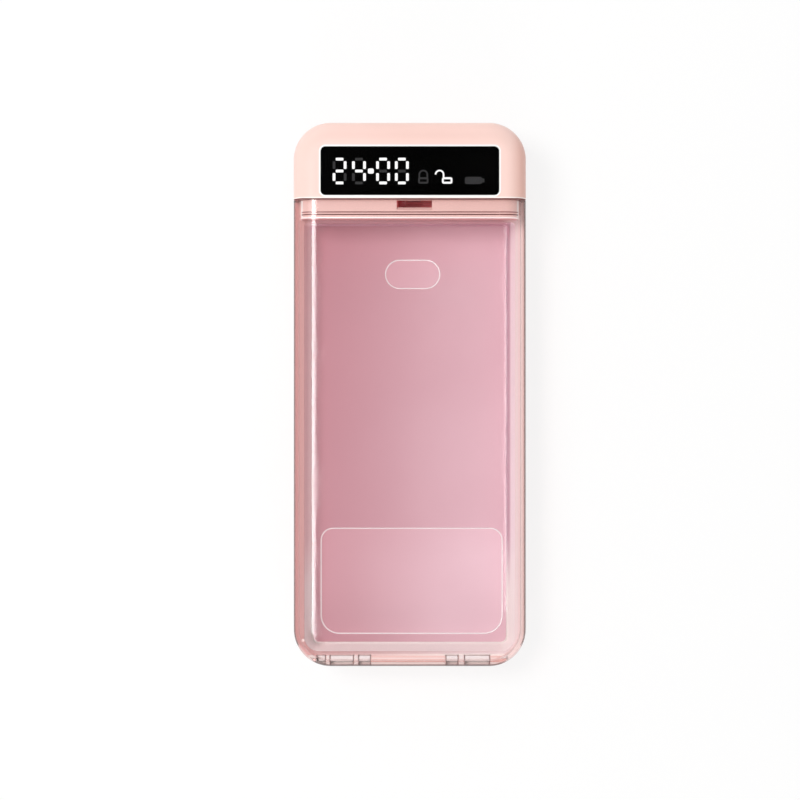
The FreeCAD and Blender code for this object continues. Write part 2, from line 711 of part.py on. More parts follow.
def head_cover():
    """Front half of the head: display frame, ledge with the latch slot, posts and button holes."""
    outer = envelope(0)
    inner = envelope(SHELL_WALL)
    cover = outer.common(slab(HEAD_FACE_Y, BODY_LENGTH, PARTING_LEVEL, BODY_LENGTH))
    cover = cover.fuse(ledge_block())
    cuts = [
        inner.common(slab(HEAD_FACE_Y + HEAD_END_WALL, BODY_LENGTH, 0, BODY_LENGTH)),
        ledge_form(SHELL_WALL, COMPARTMENT_Y, HEAD_FACE_Y + HEAD_END_WALL + OVERCUT),
        display_plate(BEZEL_WIDTH, DISPLAY_BOARD_TOP, FRONT_LEVEL + OVERCUT),
        latch_slot(),
    ]
    hole_y = COMPARTMENT_END_Y - OVERCUT
    cuts += [
        pill(
            BUTTON_WIDTH + 2 * BUTTON_CLEARANCE,
            BUTTON_HEIGHT + 2 * BUTTON_CLEARANCE,
            hole_y,
            HALF_LENGTH + OVERCUT,
            x,
            BUTTON_LEVEL,
        )
        for x in button_places()
    ]
    cover = cover.cut(cuts)
    ceiling = DISPLAY_BOARD_TOP + POST_TOP_GAP
    posts = [
        outer.common(upright(x, y, POST_RADIUS, PARTING_LEVEL, ceiling)) for x, y in screw_points()
    ]
    cover = cover.multiFuse(posts)
    screw_end = SCREW_SEAT_LEVEL + SCREW_LENGTH
    pilots = [
        upright(x, y, SCREW_RADIUS, PARTING_LEVEL - OVERCUT, screw_end) for x, y in screw_points()
    ]
    return cover.cut(pilots).removeSplitter()


def display_plate(spread, z0, z1):
    """A plate with the display's outline, widened by a margin."""
    half_width = DISPLAY_WIDTH / 2 + spread
    half_length = DISPLAY_LENGTH / 2 + spread
    return rounded_plate(
        -half_width,
        half_width,
        DISPLAY_CENTRE_Y - half_length,
        DISPLAY_CENTRE_Y + half_length,
        z0,
        z1,
        DISPLAY_RADIUS + spread,
    )


def display_bezel():
    """Fine frame round the display window, flush with the head."""
    return display_plate(BEZEL_WIDTH, MASK_TOP, FRONT_LEVEL).cut(
        display_plate(0, MASK_TOP - OVERCUT, FRONT_LEVEL + OVERCUT)
    )


def display_lens():
    """Window pane, just below the bezel's face."""
    return display_plate(0, MASK_TOP, LENS_TOP)


def display_place(share):
    """An X place on the display, given as a share of its width."""
    return share * DISPLAY_WIDTH


def segment_plate(x, y, width, length):
    """One light pipe of a digit, flush with the mask's face."""
    return rounded_plate(
        x - width / 2,
        x + width / 2,
        y - length / 2,
        y + length / 2,
        MASK_TOP - SEGMENT_DEPTH,
        MASK_TOP,
        min(width, length) * SEGMENT_ROUNDING,
    )


def digit_segments(x, names):
    """The named segments, a to g, of one digit."""
    side = DIGIT_WIDTH / 2
    mid = DISPLAY_CENTRE_Y
    across = (SEGMENT_LONG, SEGMENT_THICK)
    along = (SEGMENT_THICK, SEGMENT_LONG)
    places = {
        "a": (x, mid + DIGIT_HALF_HEIGHT, *across),
        "b": (x + side, mid + DIGIT_HALF_HEIGHT / 2, *along),
        "c": (x + side, mid - DIGIT_HALF_HEIGHT / 2, *along),
        "d": (x, mid - DIGIT_HALF_HEIGHT, *across),
        "e": (x - side, mid - DIGIT_HALF_HEIGHT / 2, *along),
        "f": (x - side, mid + DIGIT_HALF_HEIGHT / 2, *along),
        "g": (x, mid, *across),
    }
    return [segment_plate(*places[name]) for name in names]


def lit_segments():
    """Light pipes of the shown digits, and the dot between them."""
    pipes = [segment_plate(display_place(DOT_PLACE), DISPLAY_CENTRE_Y, *DOT_SIZE)]
    for place, digit in zip(DIGIT_PLACES, DIGITS_SHOWN):
        pipes += digit_segments(display_place(place), LIT_SEGMENTS[digit])
    return Part.makeCompound(pipes)


def unlit_segments():
    """Light pipes that the shown digits leave dark."""
    pipes = []
    for place, digit in zip(DIGIT_PLACES, DIGITS_SHOWN):
        dark = [name for name in "abcdefg" if name not in LIT_SEGMENTS[digit]]
        pipes += digit_segments(display_place(place), dark)
    return Part.makeCompound(pipes)


def shackle(x, foot_y, open_side):
    """A padlock's bow: a half ring on straight legs, with its far leg left off when open."""
    level = MASK_TOP - SEGMENT_DEPTH
    centre_y = foot_y + SHACKLE_RISE
    half = ICON_STROKE / 2
    ring = upright(x, centre_y, SHACKLE_RADIUS + half, level, MASK_TOP)
    ring = ring.cut(upright(x, centre_y, SHACKLE_RADIUS - half, level, MASK_TOP))
    bow = ring.common(slab(centre_y, centre_y + BODY_WIDTH, level, MASK_TOP))
    sides = (1,) if open_side else (-1, 1)
    legs = [
        box(
            x + side * SHACKLE_RADIUS - half,
            x + side * SHACKLE_RADIUS + half,
            foot_y - half,
            centre_y,
            level,
            MASK_TOP,
        )
        for side in sides
    ]
    return bow.multiFuse(legs)


def padlock_icon(x, is_open):
    """A padlock: a body with a keyway slot, and its bow shut or swung aside."""
    width, length = PADLOCK_SIZE
    body = segment_plate(x, ICON_Y, width, length)
    slot = box(
        x - PADLOCK_SLOT[0] / 2,
        x + PADLOCK_SLOT[0] / 2,
        ICON_Y - PADLOCK_SLOT[1] / 2,
        ICON_Y + PADLOCK_SLOT[1] / 2,
        MASK_TOP - SEGMENT_DEPTH,
        MASK_TOP,
    )
    bow_x = x - SHACKLE_SHIFT if is_open else x
    return body.cut(slot).fuse(shackle(bow_x, ICON_Y + length / 2, is_open)).removeSplitter()


def battery_icon():
    """A battery outline filled in, with its nub."""
    width, length = BATTERY_ICON_SIZE
    x = display_place(BATTERY_ICON_PLACE)
    body = segment_plate(x, ICON_Y, width, length)
    nub_half = length / 2 - ICON_STROKE
    nub = box(
        x + width / 2 - ICON_STROKE,
        x + width / 2 + BATTERY_NUB,
        ICON_Y - nub_half,
        ICON_Y + nub_half,
        MASK_TOP - SEGMENT_DEPTH,
        MASK_TOP,
    )
    return body.fuse(nub).removeSplitter()


def lit_icons():
    """The open padlock, lit while the box is unlocked."""
    return padlock_icon(display_place(UNLOCKED_ICON_PLACE), True)


def unlit_icons():
    """The closed padlock and the battery, dark while the box is unlocked."""
    return Part.makeCompound([padlock_icon(display_place(LOCKED_ICON_PLACE), False), battery_icon()])


def display_mask():
    """Opaque light frame under the lens, with a pocket for each light pipe."""
    block = display_plate(BEZEL_WIDTH, DISPLAY_BOARD_TOP, MASK_TOP)
    return block.cut([lit_segments(), unlit_segments(), lit_icons(), unlit_icons()])


def display_board():
    """Circuit board that carries the display and, along its far edge, the key switches."""
    half = END_SCREW_X - POST_RADIUS - BOARD_POST_GAP
    return box(-half, half, DISPLAY_BOARD_Y, SWITCH_END_Y, DISPLAY_BOARD_LEVEL, DISPLAY_BOARD_TOP)


def key_switches():
    """Three side-acting key switches under the display board."""
    width, length, height = SWITCH_SIZE
    switches = []
    for x in button_places():
        body = box(
            x - width / 2,
            x + width / 2,
            SWITCH_END_Y - length,
            SWITCH_END_Y,
            DISPLAY_BOARD_LEVEL - height,
            DISPLAY_BOARD_LEVEL,
        )
        plunger = Part.makeCylinder(
            SWITCH_PLUNGER_RADIUS,
            SWITCH_PLUNGER_LENGTH + OVERCUT,
            vector(x, SWITCH_END_Y - OVERCUT, BUTTON_LEVEL),
            vector(0, 1, 0),
        )
        switches.append(body.fuse(plunger))
    return Part.makeCompound(switches)


def push_button(x):
    """A pill-shaped key with its retaining flange and a stem towards its switch."""
    face_y = HALF_LENGTH - BUTTON_SINK
    flange_y = COMPARTMENT_END_Y - MOVING_GAP - BUTTON_FLANGE_THICKNESS
    cap = pill(BUTTON_WIDTH, BUTTON_HEIGHT, flange_y, face_y, x, BUTTON_LEVEL)
    rim = [edge for edge in cap.Edges if abs(edge.BoundBox.YMin - face_y) < TOLERANCE]
    cap = cap.makeFillet(BUTTON_EDGE, rim)
    flange = pill(
        BUTTON_WIDTH + 2 * BUTTON_FLANGE,
        BUTTON_HEIGHT + 2 * BUTTON_FLANGE,
        flange_y,
        flange_y + BUTTON_FLANGE_THICKNESS,
        x,
        BUTTON_LEVEL,
    )
    stem_y = SWITCH_END_Y + SWITCH_PLUNGER_LENGTH + BUTTON_TRAVEL_GAP
    stem = Part.makeCylinder(
        BUTTON_STEM_RADIUS,
        flange_y - stem_y + BUTTON_FLANGE_THICKNESS,
        vector(x, stem_y, BUTTON_LEVEL),
        vector(0, 1, 0),
    )
    return cap.multiFuse([flange, stem]).removeSplitter()


def main_board():
    """Control board on its bosses, with a tab that carries the charging port."""
    half = MAIN_BOARD_HALF
    tab_half = PORT_WIDTH / 2 + BOARD_TAB_MARGIN
    plate = box(-half, half, MAIN_BOARD_Y, MAIN_BOARD_END_Y, MAIN_BOARD_LEVEL, MAIN_BOARD_TOP)
    tab = box(
        half - OVERCUT,
        HALF_WIDTH - SHELL_WALL - BOARD_TAB_GAP,
        PORT_Y - tab_half,
        PORT_Y + tab_half,
        MAIN_BOARD_LEVEL,
        MAIN_BOARD_TOP,
    )
    return plate.fuse(tab).removeSplitter()


def charging_port():
    """Shell of the charging socket with its contact tongue."""
    radius = PORT_HEIGHT / 2 - PORT_SHELL / 2
    middle = MAIN_BOARD_TOP + PORT_HEIGHT / 2

    def rounded_bar(start, end, shrink):
        bar = box(
            start,
            end,
            PORT_Y - PORT_WIDTH / 2 + shrink,
            PORT_Y + PORT_WIDTH / 2 - shrink,
            MAIN_BOARD_TOP + shrink,
            MAIN_BOARD_TOP + PORT_HEIGHT - shrink,
        )
        long_edges = [edge for edge in bar.Edges if edge.BoundBox.XLength > TOLERANCE]
        return bar.makeFillet(radius - shrink, long_edges)

    shell = rounded_bar(PORT_X, PORT_END_X, 0)
    shell = shell.cut(rounded_bar(PORT_X + PORT_BACK, PORT_END_X + OVERCUT, PORT_SHELL))
    width, height = PORT_TONGUE
    tongue = box(
        PORT_X + PORT_BACK / 2,
        PORT_END_X - PORT_BACK,
        PORT_Y - width / 2,
        PORT_Y + width / 2,
        middle - height / 2,
        middle + height / 2,
    )
    return shell.fuse(tongue).removeSplitter()


def battery_cell():
    """Flat rechargeable cell on the control board."""
    y1 = MAIN_BOARD_END_Y - CELL_END_GAP
    cell = box(
        CELL_SIDE_GAP - MAIN_BOARD_HALF,
        CHASSIS_X - CELL_CHASSIS_GAP,
        y1 - CELL_LENGTH,
        y1,
        MAIN_BOARD_TOP,
        MAIN_BOARD_TOP + CELL_HEIGHT,
    )
    return cell.makeFillet(CELL_RADIUS, [edge for edge in cell.Edges if edge.BoundBox.YLength > TOLERANCE])


def flex_cable():
    """Flat cable between the two boards."""
    x = FLEX_SIDE_GAP - MAIN_BOARD_HALF
    y = MAIN_BOARD_END_Y - FLEX_END_GAP
    return box(
        x,
        x + FLEX_WIDTH,
        y - FLEX_THICKNESS,
        y,
        MAIN_BOARD_TOP,
        DISPLAY_BOARD_LEVEL,
    )


def lid_sensor():
    """Forked light barrier on the control board, with the shut lid's hook between its arms."""
    front = HOOK_HEAD_Y - HOOK_THICKNESS - SENSOR_SLOT_GAP
    back = HOOK_HEAD_Y + SENSOR_SLOT_GAP
    x0 = SENSOR_X - SENSOR_WIDTH / 2
    x1 = SENSOR_X + SENSOR_WIDTH / 2
    top = PARTING_LEVEL + SENSOR_RISE
    body = box(x0, x1, front - SENSOR_ARM, back + SENSOR_ARM, MAIN_BOARD_TOP, top)
    return body.cut(
        box(x0 - OVERCUT, x1 + OVERCUT, front, back, HOOK_LEVEL - SENSOR_SLOT_REACH, top + OVERCUT)
    )


def rack_profile(start_y, count):
    """Rack teeth that point down, drawn in the YZ plane from the bed to their tips."""
    pitch = math.pi * GEAR_MODULE
    lean = math.tan(math.radians(PRESSURE_ANGLE))
    root_level = RACK_PITCH_LEVEL + GEAR_MODULE + RACK_ROOT_CLEARANCE
    tip_level = RACK_PITCH_LEVEL - RACK_ADDENDUM
    half = (pitch - GEAR_BACKLASH) / 4
    half_root = half + (root_level - RACK_PITCH_LEVEL) * lean
    half_tip = half - RACK_ADDENDUM * lean
    teeth = []
    for index in range(count):
        y = start_y + index * pitch
        outline = [
            (y - half_root, root_level),
            (y - half_tip, tip_level),
            (y + half_tip, tip_level),
            (y + half_root, root_level),
        ]
        points = [vector(LATCH_X + BOLT_WIDTH / 2, a, b) for a, b in outline]
        face = Part.Face(Part.makePolygon(points + points[:1]))
        teeth.append(face.extrude(vector(RACK_WIDTH, 0, 0)))
    return teeth


def latch_bolt():
    """Sliding bolt: a tongue with a chamfered nose, and a rack bar along its side."""
    x0 = LATCH_X - BOLT_WIDTH / 2
    x1 = LATCH_X + BOLT_WIDTH / 2
    top = BOLT_LEVEL + BOLT_HEIGHT
    end_y = CHASSIS_END_Y - BOLT_END_GAP
    tongue = box(x0, x1, BOLT_REST_Y, end_y, BOLT_LEVEL, top)
    nose = [edge for edge in tongue.Edges if edge.BoundBox.YMax < BOLT_REST_Y + TOLERANCE]
    tongue = tongue.makeChamfer(BOLT_NOSE_CHAMFER, nose)
    pitch = math.pi * GEAR_MODULE
    first_y = PINION_Y - RACK_LEAD_TEETH * pitch
    bar = box(x1 - OVERCUT, x1 + RACK_WIDTH, first_y - pitch / 2, end_y, top - RACK_BED, top)
    count = math.floor((end_y - first_y + pitch / 2) / pitch)
    return tongue.multiFuse([bar] + rack_profile(first_y, count)).removeSplitter()


def involute_point(base_radius, radius):
    """Radius and polar angle of the involute where it reaches a radius."""
    roll = math.sqrt(max((radius / base_radius) ** 2 - 1, 0))
    return radius, roll - math.atan(roll)


def pinion_outline():
    """Closed tooth outline of the pinion in the YZ plane, with a tooth space pointing up."""
    base = PITCH_RADIUS * math.cos(math.radians(PRESSURE_ANGLE))
    tip = PITCH_RADIUS + GEAR_MODULE
    root = PITCH_RADIUS - RACK_ADDENDUM - RACK_ROOT_CLEARANCE
    pitch_angle = 2 * math.pi / PINION_TEETH
    pitch_roll = involute_point(base, PITCH_RADIUS)[1]
    half_tooth = pitch_angle / 4 - GEAR_BACKLASH / 4 / PITCH_RADIUS
    radii = [base, (base + PITCH_RADIUS) / 2, PITCH_RADIUS, (PITCH_RADIUS + tip) / 2, tip]
    flank = [(root, half_tooth + pitch_roll)]
    for radius in radii:
        radius, angle = involute_point(base, radius)
        flank.append((radius, half_tooth + pitch_roll - angle))
    points = []
    for index in range(PINION_TEETH):
        middle = math.pi / 2 + (index + 1 / 2) * pitch_angle
        for radius, angle in flank:
            points.append((radius, middle - angle))
        for radius, angle in reversed(flank):
            points.append((radius, middle + angle))
    return [
        vector(PINION_X, PINION_Y + r * math.cos(a), PINION_LEVEL + r * math.sin(a)) for r, a in points
    ]


def drive_pinion():
    """Pinion of involute teeth on the gear motor's shaft."""
    points = pinion_outline()
    wheel = Part.Face(Part.makePolygon(points + points[:1])).extrude(vector(PINION_WIDTH, 0, 0))
    bore = crossrod(
        PINION_X - OVERCUT,
        PINION_X + PINION_WIDTH + OVERCUT,
        PINION_Y,
        PINION_LEVEL,
        SHAFT_RADIUS + PIN_CLEARANCE,
    )
    return wheel.cut(bore)


def gear_motor():
    """Small gear motor: gearbox, can with two flats, tail and output shaft."""
    half = GEARBOX_WIDTH / 2
    gearbox = box(
        GEARBOX_X, MOTOR_X, PINION_Y - half, PINION_Y + half, CHASSIS_PLATE_TOP, GEARBOX_TOP
    )
    can = crossrod(MOTOR_X, MOTOR_END_X, PINION_Y, PINION_LEVEL, half)
    can = can.common(slab(0, BODY_LENGTH, CHASSIS_PLATE_TOP, GEARBOX_TOP))
    tail_x = MOTOR_END_X + MOTOR_TAIL_LENGTH
    tail = crossrod(MOTOR_END_X, tail_x, PINION_Y, PINION_LEVEL, MOTOR_TAIL_RADIUS)
    shaft = crossrod(PINION_X, GEARBOX_X, PINION_Y, PINION_LEVEL, SHAFT_RADIUS)
    return gearbox.multiFuse([can, tail, shaft])


def motor_strap():
    """Bent strap that holds the motor can down on the chassis."""
    x0 = (MOTOR_X + MOTOR_END_X - STRAP_WIDTH) / 2
    x1 = x0 + STRAP_WIDTH
    half = GEARBOX_WIDTH / 2
    top = GEARBOX_TOP
    outer = half + STRAP_THICKNESS
    hoop = box(x0, x1, PINION_Y - outer, PINION_Y + outer, CHASSIS_PLATE_TOP, top + STRAP_THICKNESS)
    hoop = hoop.cut(box(x0 - OVERCUT, x1 + OVERCUT, PINION_Y - half, PINION_Y + half, 0, top))
    feet_pair = [
        box(
            x0,
            x1,
            PINION_Y + side * (outer + STRAP_FOOT / 2) - STRAP_FOOT / 2,
            PINION_Y + side * (outer + STRAP_FOOT / 2) + STRAP_FOOT / 2,
            CHASSIS_PLATE_TOP,
            CHASSIS_PLATE_TOP + STRAP_THICKNESS,
        )
        for side in (-1, 1)
    ]
    return hoop.multiFuse(feet_pair).removeSplitter()


def latch_chassis():
    """Moulded chassis: motor plate on four standoffs, and the two walls that guide the bolt."""
    end_x = MOTOR_END_X
    end_y = CHASSIS_END_Y
    plate = box(CHASSIS_X, end_x, CHASSIS_Y, end_y, CHASSIS_PLATE_LEVEL, CHASSIS_PLATE_TOP)
    left = box(CHASSIS_X, CHASSIS_X + CHASSIS_WALL, CHASSIS_Y, end_y, CHASSIS_PLATE_LEVEL, GUIDE_LEVEL)
    right = box(GEARBOX_X - CHASSIS_WALL, GEARBOX_X, CHASSIS_Y, end_y, CHASSIS_PLATE_LEVEL, GUIDE_LEVEL)
    rail = box(
        CHASSIS_X,
        CHASSIS_X + 2 * CHASSIS_WALL,
        CHASSIS_Y,
        end_y,
        BOLT_LEVEL - MOVING_GAP - CHASSIS_PLATE,
        BOLT_LEVEL - MOVING_GAP,
    )
    standoffs = [
        upright(x, y, STANDOFF_RADIUS, MAIN_BOARD_TOP, CHASSIS_PLATE_TOP)
        for x in (CHASSIS_X + STANDOFF_INSET, end_x - STANDOFF_INSET)
        for y in (CHASSIS_Y + STANDOFF_INSET, end_y - STANDOFF_INSET)
    ]
    chassis = plate.multiFuse([left, right, rail] + standoffs)
    holes = [crossrod(GEARBOX_X - 2 * CHASSIS_WALL, GEARBOX_X, PINION_Y, PINION_LEVEL, SHAFT_HOLE_RADIUS)]
    holes += [
        upright(x, y, GUIDE_SCREW_RADIUS, GUIDE_LEVEL - GUIDE_SCREW_LENGTH, GUIDE_LEVEL + OVERCUT)
        for x, y in guide_screw_points()
    ]
    return chassis.cut(holes).removeSplitter()


def guide_screw_points():
    """The four places of the guide cover's screws."""
    return [
        (x, y)
        for x in (CHASSIS_X + CHASSIS_WALL / 2, GEARBOX_X - CHASSIS_WALL / 2)
        for y in (CHASSIS_Y + GUIDE_SCREW_INSET, CHASSIS_END_Y - GUIDE_SCREW_INSET)
    ]


def guide_cover():
    """Plate that closes the bolt's guide."""
    top = GUIDE_LEVEL + GUIDE_COVER_THICKNESS
    plate = box(CHASSIS_X, GEARBOX_X, CHASSIS_Y, CHASSIS_END_Y, GUIDE_LEVEL, top)
    return plate.cut(
        [
            upright(x, y, GUIDE_SCREW_RADIUS, GUIDE_LEVEL - OVERCUT, top + OVERCUT)
            for x, y in guide_screw_points()
        ]
    )


def guide_screws():
    """Four small screws through the guide cover."""
    top = GUIDE_LEVEL + GUIDE_COVER_THICKNESS
    screws = []
    for x, y in guide_screw_points():
        shank = upright(x, y, GUIDE_SCREW_RADIUS, GUIDE_LEVEL - GUIDE_SCREW_LENGTH, top)
        head = upright(x, y, GUIDE_SCREW_HEAD_RADIUS, top, top + GUIDE_SCREW_HEAD_HEIGHT)
        screws.append(shank.fuse(head))
    return Part.makeCompound(screws)


def cover_screws():
    """Four screws from the back, each with a hexagon socket, into the head cover's posts."""
    screws = []
    low = SCREW_SEAT_LEVEL - SCREW_HEAD_HEIGHT
    turns = [index * math.tau / SCREW_SOCKET_SIDES for index in range(SCREW_SOCKET_SIDES + 1)]
    for x, y in screw_points():
        head = upright(x, y, SCREW_HEAD_RADIUS, low, SCREW_SEAT_LEVEL)
        shank = upright(x, y, SCREW_RADIUS, low, SCREW_SEAT_LEVEL + SCREW_LENGTH)
        corners = [
            vector(x + SCREW_SOCKET_RADIUS * math.cos(a), y + SCREW_SOCKET_RADIUS * math.sin(a), low)
            for a in turns
        ]
        socket = Part.Face(Part.makePolygon(corners)).extrude(vector(0, 0, SCREW_SOCKET_DEPTH))
        screws.append(head.fuse(shank).cut(socket))
    return Part.makeCompound(screws)


def build_nodes():
    """Every node of the container by name."""
    nodes = {
        "base_shell": base_shell(),
        "rubber_feet": feet(),
        "phone_tray": phone_tray(),
        "phone_mat": phone_mat(),
        "clear_lid": clear_lid(),
        "hinge_pins": hinge_pins(),
        "head_cover": head_cover(),
        "display_bezel": display_bezel(),
        "display_lens": display_lens(),
        "display_mask": display_mask(),
        "lit_segments": lit_segments(),
        "unlit_segments": unlit_segments(),
        "lit_icons": lit_icons(),
        "unlit_icons": unlit_icons(),
        "display_board": display_board(),
        "key_switches": key_switches(),
        "main_board": main_board(),
        "charging_port": charging_port(),
        "battery_cell": battery_cell(),
        "flex_cable": flex_cable(),
        "lid_sensor": lid_sensor(),
        "latch_bolt": latch_bolt(),
        "drive_pinion": drive_pinion(),
        "gear_motor": gear_motor(),
        "motor_strap": motor_strap(),
        "latch_chassis": latch_chassis(),
        "guide_cover": guide_cover(),
        "guide_screws": guide_screws(),
        "cover_screws": cover_screws(),
    }
    for name, x in zip(("hour_button", "minute_button", "lock_button"), button_places()):
        nodes[name] = push_button(x)
    return nodes


def main():
    """Write one STEP file for each node."""
    os.makedirs("parts", exist_ok=True)
    for name, shape in build_nodes().items():
        shape.exportStep(os.path.join("parts", name + ".step"))
        bounds = shape.BoundBox
        print(
            f"{name:16s} solids {len(shape.Solids)} valid {shape.isValid()} volume {shape.Volume:10.2f}"
            f"  x {bounds.XMin:7.2f} {bounds.XMax:7.2f}  y {bounds.YMin:7.2f} {bounds.YMax:7.2f}"
            f"  z {bounds.ZMin:6.2f} {bounds.ZMax:6.2f}"
        )


main()
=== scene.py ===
import json
import logging
import math
from dataclasses import dataclass
from enum import Enum

import bmesh
import bpy
from mathutils import Matrix, Vector


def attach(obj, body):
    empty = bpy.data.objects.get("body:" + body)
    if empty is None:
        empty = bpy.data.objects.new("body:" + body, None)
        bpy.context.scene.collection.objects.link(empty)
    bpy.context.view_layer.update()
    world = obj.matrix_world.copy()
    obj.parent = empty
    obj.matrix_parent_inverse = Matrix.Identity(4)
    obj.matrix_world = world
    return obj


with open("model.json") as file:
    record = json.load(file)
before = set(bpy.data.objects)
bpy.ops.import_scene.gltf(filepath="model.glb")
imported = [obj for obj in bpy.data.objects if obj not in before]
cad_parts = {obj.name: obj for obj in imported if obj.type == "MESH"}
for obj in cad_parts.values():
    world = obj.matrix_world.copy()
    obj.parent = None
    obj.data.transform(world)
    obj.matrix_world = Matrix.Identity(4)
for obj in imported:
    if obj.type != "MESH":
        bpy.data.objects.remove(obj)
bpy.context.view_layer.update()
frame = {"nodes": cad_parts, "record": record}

"""Dresses the timed lock container: finishes, fine details, studio floor, lamps and camera.

Everything is in metres, in the frame of the solids: +X to the charging side, +Y to the display
head and +Z out of the lid.
"""

LOG = logging.getLogger("lock_container")

Colour = tuple[float, float, float]
Point = tuple[float, float, float]
Pair = tuple[float, float]

BLACK = (0.0, 0.0, 0.0)
WHITE = (1.0, 1.0, 1.0)
SHARP_ANGLE = math.radians(40.0)
BEVEL_SEGMENTS = 2
LEDGE_HALF = 0.0442


class Body(Enum):
    """The moving bodies that pieces ride on."""

    CASE = "case"
    LID = "lid"


# ---------------------------------------------------------------- shader building


class Wire:
    """One socket of a node tree that can stand in a Python expression.

    Each operator adds the Math node that works it out, so ``1 - mask`` is a node too.
    """

    def __init__(self, sketch: "Sketch", socket: bpy.types.NodeSocket) -> None:
        """Wrap a socket.

        Args:
            sketch: The node tree that the socket is in.
            socket: An output socket.
        """
        self.sketch = sketch
        self.socket = socket

    def maths(self, operation: str, *others: "Wire | float") -> "Wire":
        """Add a Math node.

        Args:
            operation: The Math node's operation.
            others: What goes into its further inputs.

        Returns:
            The node's result.
        """
        inputs = dict(enumerate((self, *others)))
        return self.sketch.node("ShaderNodeMath", {"operation": operation}, inputs).out()

    def __add__(self, other: "Wire | float") -> "Wire":
        """Sum."""
        return self.maths("ADD", other)

    def __sub__(self, other: "Wire | float") -> "Wire":
        """Difference."""
        return self.maths("SUBTRACT", other)

    def __rsub__(self, other: float) -> "Wire":
        """A number less this value."""
        return self.maths("MULTIPLY_ADD", -1.0, other)

    def __mul__(self, other: "Wire | float") -> "Wire":
        """Product."""
        return self.maths("MULTIPLY", other)

    def __pow__(self, other: "Wire | float") -> "Wire":
        """Power."""
        return self.maths("POWER", other)

    def __abs__(self) -> "Wire":
        """Size without its sign."""
        return self.maths("ABSOLUTE")

    __radd__ = __add__
    __rmul__ = __mul__

    def larger(self, other: "Wire | float") -> "Wire":
        """The larger of two values."""
        return self.maths("MAXIMUM", other)

    def rise(self, low: float, high: float) -> "Wire":
        """Go smoothly from 0 at one value to 1 at another.

        Args:
            low: The value that gives 0.
            high: The value that gives 1.

        Returns:
            The share from 0 to 1.
        """
        settings = {"interpolation_type": "SMOOTHSTEP"}
        inputs = {"Value": self, "From Min": low, "From Max": high}
        return self.sketch.node("ShaderNodeMapRange", settings, inputs).out()

    def fall(self, low: float, high: float) -> "Wire":
        """Go smoothly from 1 at one value to 0 at another."""
        return 1.0 - self.rise(low, high)

    def around(self, middle: float, spread: float) -> "Wire":
        """Turn a value from 0 to 1 into one that lies about a middle."""
        return self * spread + (middle - spread / 2.0)

    def band(self, low: float, high: float, soft: float) -> "Wire":
        """Pick out the values between two limits.

        Args:
            low: The lower limit.
            high: The upper limit.
            soft: How wide the change at each limit is.

        Returns:
            1 between the limits and 0 outside them.
        """
        return self.rise(low - soft, low + soft) * self.fall(high - soft, high + soft)


class Added:
    """A node that was added to a tree."""

    def __init__(self, sketch: "Sketch", node: bpy.types.Node) -> None:
        """Wrap a node of a sketch."""
        self.sketch = sketch
        self.node = node

    def out(self, key: str | int = 0) -> Wire:
        """One of the node's outputs, by name or number."""
        return Wire(self.sketch, self.node.outputs[key])


